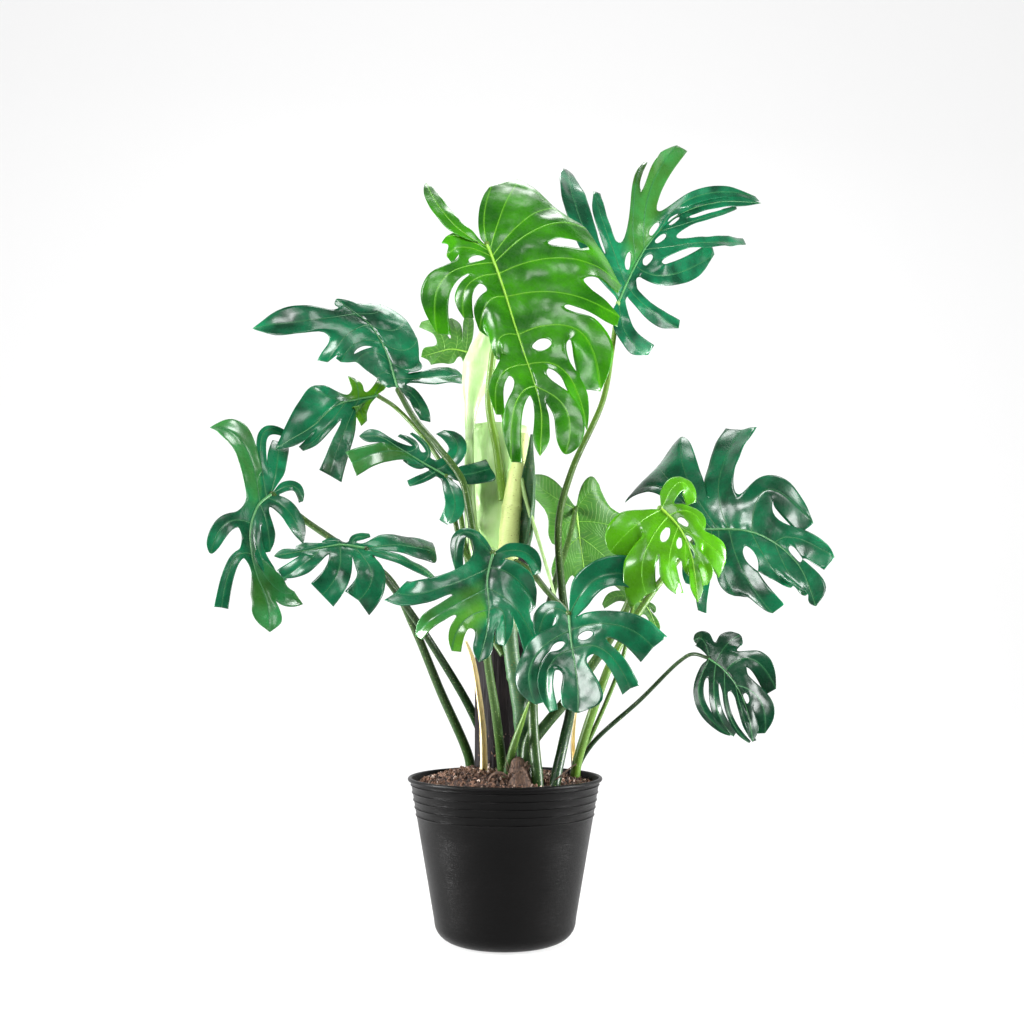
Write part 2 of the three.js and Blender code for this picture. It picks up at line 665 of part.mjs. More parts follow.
function leafNormal(leaf) {
  return v3(leaf.slope[0] / MM_PER_PIXEL, -1, -leaf.slope[1] / MM_PER_PIXEL).normalize();
}

// A vein from its root through its halfway point to its tip, arching up and drooping
const VEIN_ARCH = 0.06;
const TIP_DROOP = 0.1;

function veinCurve(leaf, root, { tip, via, back }) {
  const flatTip = onLeaf(leaf, tip);
  const reach = root.distanceTo(flatTip);
  const end = onLeaf(leaf, tip, back ?? TIP_DROOP * reach);
  const middle = onLeaf(leaf, via, -VEIN_ARCH * reach);
  const control = middle.multiplyScalar(2).sub(root.clone().add(end).multiplyScalar(0.5));
  return new THREE.QuadraticBezierCurve3(root, control, end);
}

// The half width of a lobe at a fraction of its vein: it swells to its widest and then tapers
const WIDEST = 0.5;
const ROOT_WIDTH = 0.72;

function lobeWidth(width, blunt, along) {
  const taper = Math.max(0, (along - WIDEST) / (1 - WIDEST));
  const rise = Math.sin((Math.PI / 2) * Math.min(1, along / WIDEST));
  return width * (ROOT_WIDTH + (1 - ROOT_WIDTH) * rise) * (1 - taper ** blunt);
}

// FOLD: how far a margin lifts off the vein, for each millimetre of its width.
// ROOM: the share of the way to the next vein that a margin may take.
// SINUS: the same for the outermost lobe, of the way back to its root.
// BULGE: how far a margin that never parts swells outward at its end, as a share of a step.
// LEAST_STEP: how far a margin point lies ahead of the one before, as a share of a vein's step.
const FOLD = 0.14;
const ROOM = 0.46;
const SINUS = 0.5;
const BULGE = 0.25;
const LEAST_STEP = 0.15;
const TANGENT_REACH = 0.02;
const TIP_BLUNT = 2.2;

// The blade's sheet: points, and faces that turn anticlockwise seen from the eye
function bladeSheet(leaf) {
  const rows = leaf.rows ?? ROWS;
  const last = rows.length - 1;
  const count = leaf.ribs.length;
  const places = leaf.midrib.map((place) => onLeaf(leaf, place));
  const midrib = new THREE.CatmullRomCurve3(places, false, 'centripetal');
  const normal = leafNormal(leaf);
  const points = [];
  const faces = [];
  const add = (point) => points.push(point) - 1;

  // Corners along the midrib, which both halves share
  const stations = [];
  leaf.ribs.forEach((rib, i) => {
    const before = i === 0 ? 0 : (leaf.ribs[i - 1] + rib) / 2;
    stations.push(before, rib);
  });
  stations.push((leaf.ribs[count - 1] + leaf.end) / 2, leaf.end);
  const spine = stations.map((t) => add(midrib.getPoint(t)));
  const point = (along) => midrib.getPoint(THREE.MathUtils.lerp(leaf.end, 1, along));
  const tipRow = rows.map((along, j) => (j === 0 ? spine[2 * count + 1] : add(point(along))));
  const tipStrip = {
    width: leaf.width,
    blunt: leaf.blunt ?? TIP_BLUNT,
    at: point,
    tangent: (along) => {
      const ahead = point(Math.min(1, along + TANGENT_REACH));
      return ahead.sub(point(Math.max(0, along - TANGENT_REACH)));
    },
  };

  leaf.lobes.forEach((half, h) => {
    const strips = half.map((spec, i) => {
      const curve = veinCurve(leaf, midrib.getPoint(leaf.ribs[i]), spec);
      return { ...spec, at: (s) => curve.getPoint(s), tangent: (s) => curve.getTangent(s) };
    });
    strips.push(tipStrip);
    const opposite = veinCurve(leaf, midrib.getPoint(leaf.ribs[0]), leaf.lobes[1 - h][0]);
    const veins = strips.map((strip, i) => rows.map((along, j) => {
      if (i === count) return tipRow[j];
      return j === 0 ? spine[2 * i + 1] : add(strip.at(along));
    }));

    // The point at a lobe's margin, toward the tip of the leaf or away from it. It never falls
    // behind the point before it, so that a bent lobe doesn't fold over itself.
    const turn = Math.sign(strips.slice(1).reduce((sum, strip, i) => {
      const across = strip.at(0.5).sub(strips[i].at(0.5));
      return sum + Math.sign(across.dot(strips[i].tangent(0.5).cross(normal)));
    }, 0));
    const margin = (i, toward, j, before) => {
      const strip = strips[i];
      const along = rows[j];
      const forward = strip.tangent(along).normalize();
      const side = forward.clone().cross(normal).normalize().multiplyScalar(turn * (toward - i));
      const base = points[veins[i][j]];
      const sinus = SINUS * base.distanceTo(points[veins[i][0]]);
      const room = strips[toward]
        ? ROOM * base.distanceTo(points[veins[toward][j]])
        : Math.min(sinus, ROOM * base.distanceTo(opposite.getPoint(along)));
      const width = Math.min(lobeWidth(strip.width, strip.blunt, along), room);
      const place = base.clone().addScaledVector(side, width).addScaledVector(normal, FOLD * width);
      const step = LEAST_STEP * base.distanceTo(points[veins[i][j - 1]]);
      const ahead = place.clone().sub(points[before]).dot(forward);
      return place.addScaledVector(forward, Math.max(0, step - ahead));
    };

    // Margins between strips i - 1 and i: one point where they are joined, two where they part
    const fore = [];
    const aft = [];
    for (let i = 0; i <= count; i++) {
      aft[i] = [];
      fore[i] = [];
      for (let j = 0; j <= last; j++) {
        if (j === 0) {
          aft[i][j] = spine[2 * i];
          fore[i][j] = spine[2 * i];
        } else if (j === last && i > 0 && strips[i - 1].slit === 1) {
          const outer = points[veins[i - 1][j]].clone().add(points[veins[i][j]]).multiplyScalar(0.5);
          const step = outer.clone().sub(points[fore[i][j - 1]]).multiplyScalar(BULGE);
          fore[i][j] = add(outer.add(step));
          aft[i][j] = fore[i][j];
        } else if (j === last) {
          aft[i][j] = veins[i][last];
          fore[i][j] = i > 0 ? veins[i - 1][last] : -1;
        } else if (i === 0) {
          aft[i][j] = add(margin(0, -1, j, aft[i][j - 1]));
        } else {
          const before = points[veins[i - 1][j]];
          const after = points[veins[i][j]];
          const middle = before.clone().add(after).multiplyScalar(0.5);
          const { slit, hole } = strips[i - 1];
          if (rows[j] === hole) {
            fore[i][j] = add(middle.clone().lerp(before, HOLE_WIDTH));
            aft[i][j] = add(middle.clone().lerp(after, HOLE_WIDTH));
          } else if (j === 1 || rows[j] <= slit) {
            fore[i][j] = add(middle);
            aft[i][j] = fore[i][j];
          } else {
            fore[i][j] = add(margin(i - 1, i, j, fore[i][j - 1]));
            aft[i][j] = add(margin(i, i - 1, j, aft[i][j - 1]));
          }
        }
      }
    }

    const sheet = [];
    for (let i = 0; i <= count; i++) {
      for (let j = 0; j < last; j++) {
        sheet.push([aft[i][j], veins[i][j], veins[i][j + 1], aft[i][j + 1]]);
        if (i < count) sheet.push([veins[i][j], fore[i + 1][j], fore[i + 1][j + 1], veins[i][j + 1]]);
      }
    }
    const facing = v3();
    sheet.forEach((face) => facing.add(faceNormal(points, face)));
    const flip = facing.dot(normal) < 0;
    sheet.forEach((face) => {
      const ring = face.filter((corner, k) => corner !== face[(k + 1) % face.length]);
      faces.push(flip ? ring.reverse() : ring);
    });
  });
  return { points, faces };
}

// Twice the area of a face, along its normal
function faceNormal(points, face) {
  const total = v3();
  for (let k = 1; k < face.length - 1; k++) {
    const a = points[face[k]].clone().sub(points[face[0]]);
    total.add(a.cross(points[face[k + 1]].clone().sub(points[face[0]])));
  }
  return total;
}

// A closed solid of even thickness about a sheet
function thicken({ points, faces }, thickness) {
  const normals = points.map(() => v3());
  const open = new Map();
  faces.forEach((face) => {
    const normal = faceNormal(points, face);
    face.forEach((corner, k) => {
      normals[corner].add(normal);
      const next = face[(k + 1) % face.length];
      if (!open.delete(`${next} ${corner}`)) open.set(`${corner} ${next}`, [corner, next]);
    });
  });
  const upper = points.map((p, i) => p.clone().addScaledVector(normals[i].normalize(), thickness / 2));
  const lower = points.map((p, i) => p.clone().addScaledVector(normals[i], -thickness / 2));
  const index = [];
  faces.forEach((face) => {
    for (let k = 1; k < face.length - 1; k++) {
      const [a, b, c] = [face[0], face[k], face[k + 1]];
      index.push(a, b, c, a + points.length, c + points.length, b + points.length);
    }
  });
  open.forEach(([a, b]) => {
    index.push(b, a, a + points.length, b, a + points.length, b + points.length);
  });
  const geometry = new THREE.BufferGeometry();
  const corners = [...upper, ...lower].flatMap((p) => p.toArray());
  geometry.setAttribute('position', new THREE.Float32BufferAttribute(corners, 3));
  geometry.setIndex(index);
  return geometry;
}

const bladeSolid = (leaf) => toSolid(thicken(bladeSheet(leaf), BLADE_THICKNESS));

// Stalks
const LONGEST_SHORTFALL = 14;
const FOOT_LEAN = 0.3;

const pathPoints = (path) => path.map(([px, py, y]) => seen(px, py, y));

// The points of a stalk that leaves the soil carry on below it
function rooted(path, spare) {
  const points = pathPoints(path);
  const foot = points[0];
  const along = foot.clone().sub(points[1]).normalize();
  const down = v3(along.x * FOOT_LEAN, along.y * FOOT_LEAN, -1).normalize();
  return [foot.clone().addScaledVector(down, ROOTING_DEPTH + 2 * spare), ...points];
}

const leavesSoil = (leaf) => leaf.stalk.path[0][1] > SOIL_LINE;

function stalkPoints(leaf, spare, short) {
  const { path } = leaf.stalk;
  const points = leavesSoil(leaf) ? rooted(path, spare) : pathPoints(path);
  const heel = onLeaf(leaf, leaf.midrib[0]);
  const back = points[points.length - 1].clone().sub(heel).setLength(short);
  return [...points, heel.add(back)];
}

const widened = (radii, spare) => radii.map((radius) => radius + spare);

function stalkTube(leaf, spare, short) {
  const radii = widened(leaf.stalk.radii, spare);
  return toSolid(taperedTube(stalkPoints(leaf, spare, short), radii, STALK_STEPS));
}

// How far short of the heel of its blade a stalk ends, for it to be just clear of the blade
function stalkShortfall(leaf, blade) {
  for (let short = GAP; short < LONGEST_SHORTFALL; short += GAP) {
    if (stalkTube(leaf, GAP, short - GAP).intersect(blade).isEmpty()) return short;
  }
  throw new Error(`the stalk of ${leaf.name} runs into its blade`);
}

// Main stem, new leaf and the other pieces that no blade ends
const STEM = {
  path: [
    [526, 760, -26], [521, 712, -46], [511, 650, -54], [508, 600, -50], [509, 540, -44],
    [514, 490, -38], [524, 434, -30],
  ],
  radii: [13, 12, 12, 14, 16, 13, 6],
};
const NEW_LEAF = {
  path: [
    [509, 560, -46], [488, 552, -44], [474, 535, -34], [470, 500, -26], [471, 410, -20],
    [478, 368, -26], [487, 335, -32], [487, 299, -26],
  ],
  radii: [9, 10, 9, 7, 7, 24, 14, 3],
};
const DRY_SHEATH = {
  path: [[484, 771, -24], [483, 730, -32], [479, 695, -40], [473, 660, -42], [466, 641, -38]],
  radii: [5, 4, 1.5],
};
const SIDE_SHOOT = {
  path: [[507, 778, -68], [514, 745, -88], [522, 722, -102], [529, 702, -116]],
  radii: [6.5, 6, 2.5],
};
const AERIAL_ROOT = {
  path: [[520, 470, -36], [526, 500, -56], [536, 532, -66], [548, 572, -76], [556, 600, -84]],
  radii: [3.2, 3, 2],
};
const OLD_STUB = { path: [[524, 785, -86], [524, 768, -86], [523, 752, -86]], radii: [12, 11, 6] };

const fromSoil = ({ path, radii }, spare, steps, sides) =>
  toSolid(taperedTube(rooted(path, spare), widened(radii, spare), steps, sides));

function poleSolid(spare) {
  const profile = [
    [0, POLE_FOOT - spare],
    [POLE_RADIUS + spare, POLE_FOOT - spare],
    [POLE_RADIUS + spare, POLE_TOP - POLE_CHAMFER],
    [POLE_RADIUS - POLE_CHAMFER, POLE_TOP],
    [0, POLE_TOP],
  ];
  return toSolid(turned(profile, POLE_SEGMENTS).translate(...POLE_PLACE, 0));
}

// The whole plant in its pot
const plant = new THREE.Group();
plant.name = 'potted_plant';

function addMesh(name, geometry, material) {
  const mesh = new THREE.Mesh(geometry, material);
  mesh.name = name;
  plant.add(mesh);
}

const addPiece = (name, solid, material) => addMesh(name, toGeometry(largest(solid)), material);

addMesh('pot', potGeometry(), FINISHES.pot);
addPiece('support_pole', poleSolid(0), FINISHES.pole);
addPiece('main_stem', fromSoil(STEM, 0, STEM_STEPS, STEM_SIDES), FINISHES.stem);

const stemRoom = fromSoil(STEM, GAP, STEM_STEPS, STEM_SIDES);
const sockets = [poleSolid(GAP), stemRoom];
LEAVES.forEach((leaf) => {
  const blade = bladeSolid(leaf);
  addPiece(`leaf_${leaf.name}`, blade, FINISHES[leaf.finish]);
  const short = stalkShortfall(leaf, blade);
  addPiece(`stalk_${leaf.name}`, stalkTube(leaf, 0, short).subtract(stemRoom), FINISHES.stalk);
  if (leavesSoil(leaf)) sockets.push(stalkTube(leaf, GAP, short));
});

// The new leaf and the aerial root leave the main stem
const fromStem = ({ path, radii }, steps, sides) =>
  toSolid(taperedTube(pathPoints(path), radii, steps, sides)).subtract(stemRoom);
addPiece('new_leaf', fromStem(NEW_LEAF, NEW_LEAF_STEPS, STEM_SIDES), FINISHES.bud);
addPiece('aerial_root', fromStem(AERIAL_ROOT, AERIAL_ROOT_STEPS, STALK_SIDES), FINISHES.bud);

const rootedPieces = [
  ['dry_sheath', DRY_SHEATH, SHOOT_STEPS, STALK_SIDES, FINISHES.sheath],
  ['side_shoot', SIDE_SHOOT, SHOOT_STEPS, STALK_SIDES, FINISHES.stalk],
  ['old_stub', OLD_STUB, STUB_STEPS, STEM_SIDES, FINISHES.root],
];
for (const [name, piece, steps, sides, material] of rootedPieces) {
  addPiece(name, fromSoil(piece, 0, steps, sides), material);
  sockets.push(fromSoil(piece, GAP, steps, sides));
}

addMesh('soil', soilGeometry(sockets), FINISHES.soil);

export default plant;
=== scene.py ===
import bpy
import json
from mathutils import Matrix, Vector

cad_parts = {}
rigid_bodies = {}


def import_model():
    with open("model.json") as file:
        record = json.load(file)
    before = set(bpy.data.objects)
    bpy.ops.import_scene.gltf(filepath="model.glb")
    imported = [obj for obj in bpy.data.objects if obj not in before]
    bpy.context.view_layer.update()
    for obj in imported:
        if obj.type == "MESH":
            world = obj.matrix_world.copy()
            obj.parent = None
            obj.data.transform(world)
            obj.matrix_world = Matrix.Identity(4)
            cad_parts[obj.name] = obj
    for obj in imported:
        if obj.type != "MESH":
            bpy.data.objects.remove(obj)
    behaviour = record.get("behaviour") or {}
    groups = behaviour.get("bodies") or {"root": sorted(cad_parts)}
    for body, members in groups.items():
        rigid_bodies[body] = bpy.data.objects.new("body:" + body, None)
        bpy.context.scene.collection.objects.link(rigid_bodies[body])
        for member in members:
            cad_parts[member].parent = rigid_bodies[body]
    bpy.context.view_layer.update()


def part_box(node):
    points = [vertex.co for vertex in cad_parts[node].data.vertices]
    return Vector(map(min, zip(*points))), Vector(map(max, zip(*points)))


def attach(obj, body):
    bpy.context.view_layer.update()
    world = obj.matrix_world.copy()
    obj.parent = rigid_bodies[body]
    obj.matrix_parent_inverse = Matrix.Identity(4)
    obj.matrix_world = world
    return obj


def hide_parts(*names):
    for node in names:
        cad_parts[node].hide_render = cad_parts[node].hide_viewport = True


bl_info = {
    "name": "Potted Swiss Cheese Plant",
    "version": (1, 0, 0),
    "blender": (4, 5, 0),
    "location": "View3D > Sidebar > Plant",
    "description": "A swiss cheese plant on a pole, in its soil and nursery pot",
    "category": "Add Mesh",
}

import functools
import json
import math
import random

import bmesh
import bpy
import numpy as np
from mathutils import Vector, noise
from mathutils.bvhtree import BVHTree

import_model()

# Everything is in metres, and a size that is easier to read in millimetres is multiplied by MM.
# The front of the plant faces -Y.
MM = 0.001
BODY = "root"

# The pot, the soil and the pole. The pot's and the pole's sizes are measured on their nodes
POT_LOW, POT_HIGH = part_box("pot")
POLE_LOW, POLE_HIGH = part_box("support_pole")
POT_RIM_RADIUS = (POT_HIGH.x - POT_LOW.x) / 2
POT_HEIGHT = POT_HIGH.z - POT_LOW.z
POLE_RADIUS = (POLE_HIGH.x - POLE_LOW.x) / 2
POLE_CENTRE = (POLE_LOW + POLE_HIGH) / 2

POT_SHOULDER_RADIUS = 106 * MM
POT_SHOULDER_HEIGHT = 28 * MM
POT_FOOT_RADIUS = 75 * MM
POT_TAPER = 0.18
POT_WALL = 3 * MM
FOOT_RISE = 1.2 * MM
LIP_RADIUS = 3 * MM
RING_TOP = 228 * MM
DRAIN_RADIUS = 7 * MM
DRAIN_CIRCLE = 52 * MM
DRAIN_COUNT = 6
# The section of a ring line: millimetres above its middle, and the share of its depth there
RING_PROFILE = ((-2.2, 0), (-1.5, 0.3), (-0.8, 0.8), (0, 1), (0.5, 0.7), (0.9, 0))

SOIL_EDGE_HEIGHT = 232 * MM
SOIL_MOUND = 22 * MM
SOIL_SLOPE = 0.06
MOUND_EDGE = POT_RIM_RADIUS - 12 * MM
ROOTING_DEPTH = 34 * MM
CHIP_LAYER = 4 * MM
LUMP_HEIGHT = 2.2 * MM
LUMPS_PER_METRE = 70
SOIL_RINGS = 44
SOIL_SIDES = 160
STREWN_RINGS = 30
STREWN_SIDES = 96
CHIP_KINDS = 6
CHIP_SIZES = (0.35, 1.5)
TONE_SEED = 11

POLE_STEPS = 150
POLE_SIDES = 180
CRUMB_LENGTH = 3 * MM
CRUMB_REACH = 75 * MM
CRUMBS_PER_M2 = 9000

# The view that the places of stalks and leaves are read from: an eye level with the upper half
# of the pot, pitched up a little. A place is a pixel of that view and a depth in millimetres.
EYE = Vector((10.5, -1800, 438)) * MM
EYE_PITCH = math.radians(6.5)
FOCAL_PIXELS = 1161
VIEW_PIXELS = 1024
VIEW_MIDDLE = VIEW_PIXELS / 2
MM_PER_PIXEL = 1.55
SENSOR_WIDTH = 36
SOIL_LINE = 740

# The pale floor and the backdrop that it bends up into, in metres
FLOOR_HALF_WIDTH = 6
FLOOR_FRONT = -5
FLOOR_BACK = 2.4
FLOOR_BEND = 0.9
BACKDROP_TOP = 5

# Each light has a name, the setting that holds its power, its place, the place that it is turned
# toward, and its width and height, in metres.
LIGHTS = [
    ("main_light", "key_power", (-1.2, -2.2, 3), (0, 0, 0.62), (1, 1)),
    ("top_light", "top_power", (0.2, 0.9, 3), (0, 0, 0.62), (1.1, 1.1)),
    ("front_light", "front_power", (0.75, -1.6, 2.7), (0, 0, 0.62), (0.7, 0.7)),
    ("left_light", "fill_power", (-2.4, -0.5, 1), (0, 0, 0.62), (0.5, 1.8)),
    ("right_light", "fill_power", (2.3, -0.9, 1.1), (0, 0, 0.62), (0.5, 1.8)),
    ("left_strip", "strip_power", (-1.3, -0.25, 0.42), (0, 0, 0.15), (0.3, 0.8)),
    ("right_strip", "strip_power", (1.3, -0.25, 0.42), (0, 0, 0.15), (0.3, 0.8)),
]

# Fine veins leave a side vein this far apart, and run this far along it for their own length
FINE_VEIN_PITCH = 7 * MM
FINE_VEIN_SLANT = 0.7

# The colour sockets of a mix node and the number sockets of a random value node
MIX_BELOW, MIX_ABOVE, MIX_RESULT = 6, 7, 2
RANDOM_LOW, RANDOM_HIGH, RANDOM_RESULT = 2, 3, 1


def seen(px, py, depth):
    """The point that the view shows at a pixel, at a depth in millimetres."""
    right = (px - VIEW_MIDDLE) / FOCAL_PIXELS
    up = (VIEW_MIDDLE - py) / FOCAL_PIXELS
    ray = Vector((
        right,
        math.cos(EYE_PITCH) - up * math.sin(EYE_PITCH),
        math.sin(EYE_PITCH) + up * math.cos(EYE_PITCH),
    ))
    return EYE + ray * ((depth * MM - EYE.y) / ray.y)


def linear(hex_colour):
    """An sRGB hex colour, such as 1c1b1a, as linear red, green, blue and alpha."""
    channels = [int(hex_colour[i:i + 2], 16) / 255 for i in (0, 2, 4)]
    return tuple(c / 12.92 if c <= 0.04045 else ((c + 0.055) / 1.055) ** 2.4 for c in channels) + (1,)


def colour_property(name, description, hex_colour):
    return bpy.props.FloatVectorProperty(
        name=name, description=description, subtype="COLOR", size=4, min=0, max=1,
        default=linear(hex_colour),
    )


def length_property(name, description, millimetres):
    return bpy.props.FloatProperty(
        name=name, description=description, unit="LENGTH", subtype="DISTANCE", min=0,
        default=millimetres * MM,
    )


def power_property(name, description, watts):
    return bpy.props.FloatProperty(name=name, description=description, unit="POWER", default=watts)


# Settings

class PotSettings(bpy.types.PropertyGroup):
    """The nursery pot."""
    ring_count: bpy.props.IntProperty(
        name="Rings", description="Ring lines moulded under the band of the rim", default=5, min=1)
    ring_pitch: length_property("Ring spacing", "Height from one ring line to the next", 11.1)
    ring_depth: length_property("Ring depth", "How far a ring line stands out of the wall", 1.3)
    segments: bpy.props.IntProperty(
        name="Segments", description="Steps round the pot", default=144, min=24)
    colour: colour_property("Plastic", "Colour of the moulded plastic", "040404")


class SoilSettings(bpy.types.PropertyGroup):
    """The soil and the bark chips on it."""
    chip_length: length_property("Chip length", "Length of a usual bark chip", 5.8)
    chips_per_m2: bpy.props.FloatProperty(
        name="Chips", description="Bark chips on each square metre of soil", default=43000, min=0)
    seed: bpy.props.IntProperty(
        name="Seed", description="Start of the random places of the chips", default=7)
    dark: colour_property("Dark chips", "Colour of the wettest bark", "140c08")
    light: colour_property("Light chips", "Colour of the driest bark", "7c5a46")


class PoleSettings(bpy.types.PropertyGroup):
    """The climbing pole."""
    grain: length_property("Grain", "Width of one ridge of the fibrous surface", 5)
    relief: length_property("Relief", "How far the ridges stand out", 0.9)
    colour: colour_property("Fibre", "Colour of the pole's fibre", "120c0e")


class StemSettings(bpy.types.PropertyGroup):
    """The stem, the stalks and the other round shoots."""
    sides: bpy.props.IntProperty(
        name="Sides", description="Sides of a round stalk", default=16, min=6)
    step: length_property("Step", "Length of one step along a stalk", 6)
    green: colour_property("Green", "Colour of an old stalk", "0a2a0e")
    young: colour_property("Young", "Colour of a young stalk", "5f8526")
    pale: colour_property("Pale", "Colour of new growth", "b9d69c")
    dry: colour_property("Dry", "Colour of a dry sheath", "e8d7a4")


class LeafSettings(bpy.types.PropertyGroup):
    """The leaf blades."""
    thickness: length_property("Thickness", "Thickness of a blade", 0.9)
    levels: bpy.props.IntProperty(
        name="Levels", description="Subdivision levels of a blade", default=2, min=0, max=3)
    quilting: length_property("Quilting", "How far a blade swells between two side veins", 0.4)
    waviness: length_property("Waviness", "How far a blade's margin waves", 4.5)
    dark: colour_property("Dark leaf", "Colour of an old blade", "03331e")
    dark_light: colour_property("Dark leaf, lighter", "Lighter patches of an old blade", "0f6e46")
    bright: colour_property("Bright leaf", "Colour of a young blade", "135000")
    bright_light: colour_property("Bright leaf, lighter", "Lighter patches of a young blade", "368600")
    under: colour_property("Underside", "Colour of the back of a blade", "2f6a06")
    vein: colour_property("Vein", "Colour of the midrib and the side veins", "a7cf4c")


class StageSettings(bpy.types.PropertyGroup):
    """The pale studio that the plant stands in."""
    key_power: power_property(
        "Main light", "Power of the light above the front", 105)
    top_power: power_property(
        "Top light", "Power of the light overhead", 38)
    front_power: power_property(
        "Front light", "Power of the small light high at the right", 18)
    fill_power: power_property(
        "Fill light", "Power of each light at the sides", 36)
    strip_power: power_property(
        "Strip light", "Power of each light beside the pot", 46)
    world_strength: bpy.props.FloatProperty(
        name="Surround", description="Brightness of the white surround", default=0.15, min=0)
    glow: bpy.props.FloatProperty(
        name="Glow", description="Light that the translucent paper gives off", default=0.73, min=0)
    floor: colour_property("Floor", "Colour of the pale floor and backdrop", "7c7c7c")


# Paths

def smooth_curve(points):
    """A function of 0 to 1 along a centripetal Catmull-Rom curve through the points."""
    points = [Vector(p) for p in points]
    spans = len(points) - 1
    before = 2 * points[0] - points[1]
    after = 2 * points[-1] - points[-2]
    path = [before, *points, after]

    def at(t):
        place = min(max(t, 0), 1) * spans
        index = min(int(place), spans - 1)
        w = place - index
        p0, p1, p2, p3 = path[index:index + 4]
        d1 = max((p2 - p1).length ** 0.5, 1e-4)
        d0 = (p1 - p0).length ** 0.5 or d1
        d2 = (p3 - p2).length ** 0.5 or d1
        start = ((p1 - p0) / d0 - (p2 - p0) / (d0 + d1) + (p2 - p1) / d1) * d1
        stop = ((p2 - p1) / d1 - (p3 - p1) / (d1 + d2) + (p3 - p2) / d2) * d1
        return (
            p1 + start * w + (-3 * p1 + 3 * p2 - 2 * start - stop) * w ** 2
            + (2 * p1 - 2 * p2 + start + stop) * w ** 3
        )

    return at


def bent_curve(root, middle, end):
    """A function of 0 to 1 along a plain bend from root to end that passes through middle."""
    control = 2 * middle - (root + end) / 2
    return lambda s: root * (1 - s) ** 2 + control * (2 * s * (1 - s)) + end * s ** 2


def evenly(curve, step):
    """Points a step apart along a curve, and how far along each lies, from 0 to 1."""
    fine = [curve(i / 200) for i in range(201)]
    reach = np.cumsum([0] + [(b - a).length for a, b in zip(fine, fine[1:])])
    count = max(4, round(reach[-1] / step))
    shares = np.linspace(0, 1, count + 1)
    places = np.interp(shares * reach[-1], reach, np.linspace(0, 1, 201))
    return [curve(t) for t in places], shares


def along_list(values, share):
    """The value at a share of the way along an evenly spaced list."""
    return float(np.interp(share, np.linspace(0, 1, len(values)), values))


# Meshes

def new_mesh(name, points, faces, edges=()):
    mesh = bpy.data.meshes.new(name)
    mesh.from_pydata([tuple(p) for p in points], list(edges), faces)
    mesh.update()
    return mesh


def set_marks(mesh, name, values):
    """Stores one number for each vertex of a mesh."""
    attribute = mesh.attributes.new(name, "FLOAT", "POINT")
    attribute.data.foreach_set("value", np.asarray(values, np.float32))


def get_marks(mesh, name):
    values = np.zeros(len(mesh.vertices), np.float32)
    mesh.attributes[name].data.foreach_get("value", values)
    return values


def in_scene(name, data):
    """An object in the scene, at its origin."""
    piece = bpy.data.objects.new(name, data)
    bpy.context.scene.collection.objects.link(piece)
    return piece


def shown(name, mesh, material=None):
    """An object that shows a mesh, smooth."""
    if material is not None:
        mesh.materials.clear()
        mesh.materials.append(material)
    mesh.polygons.foreach_set("use_smooth", [True] * len(mesh.polygons))
    return in_scene(name, mesh)


def plain_copy(piece):
    """The mesh that an object's modifiers make. The object is removed."""
    bpy.context.view_layer.update()
    graph = bpy.context.evaluated_depsgraph_get()
    mesh = bpy.data.meshes.new_from_object(piece.evaluated_get(graph), depsgraph=graph)
    bpy.data.objects.remove(piece)
    return mesh


def thickened(name, sheet, thickness, offset=0, back=0):
    """A sheet made a closed wall. Its back takes the material that many places further on."""
    carrier = in_scene(name, sheet)
    shell = carrier.modifiers.new("Thicken", "SOLIDIFY")
    shell.thickness = thickness
    shell.offset = offset
    shell.material_offset = back
    return plain_copy(carrier)


def joined(name, meshes):
    """One mesh of several, with their materials."""
    whole = bmesh.new()
    materials = []
    for mesh in meshes:
        first = len(whole.faces)
        whole.from_mesh(mesh)
        whole.faces.ensure_lookup_table()
        for face in whole.faces[first:]:
            face.material_index += len(materials)
        materials += list(mesh.materials)
    result = bpy.data.meshes.new(name)
    whole.to_mesh(result)
    whole.free()
    for material in materials:
        result.materials.append(material)
    return result


def finish_piece(piece, slot, *nodes):
    """Rides a finished piece on the plant, in place of its nodes."""
    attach(piece, BODY)
    if nodes:
        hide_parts(*nodes)


# Materials

def set_inputs(node, inputs):
    """Sets each input named, or links it where its value is a socket."""
    for name, value in inputs.items():
        if isinstance(value, bpy.types.NodeSocket):
            node.id_data.links.new(value, node.inputs[name])
        else:
            node.inputs[name].default_value = value


def add_node(tree, kind, inputs=None, **settings):
    """Adds a node with its settings and links."""
    node = tree.nodes.new(kind)
    for name, value in settings.items():
        setattr(node, name, value)
    set_inputs(node, inputs or {})
    return node


def new_material(name):
    """A material with one shader. Returns it with its tree and the shader."""
    material = bpy.data.materials.new(name)
    material.use_nodes = True
    tree = material.node_tree
    tree.nodes.clear()
    shader = add_node(tree, "ShaderNodeBsdfPrincipled")
    add_node(tree, "ShaderNodeOutputMaterial", {"Surface": shader.outputs[0]})
    return material, tree, shader


def pattern(tree, millimetres, detail=3, stretch=(1, 1, 1), distortion=0):
    """Uneven patches on the piece's own coordinates, of a size in millimetres, from 0 to 1. A
    stretch under 1 draws them out that way."""
    place = add_node(tree, "ShaderNodeTexCoord").outputs["Object"]
    stretched = add_node(tree, "ShaderNodeMapping", {"Vector": place, "Scale": stretch}).outputs[0]
    return add_node(tree, "ShaderNodeTexNoise", {
        "Vector": stretched, "Scale": 1 / (millimetres * MM), "Detail": detail,
        "Distortion": distortion,
    }).outputs["Fac"]


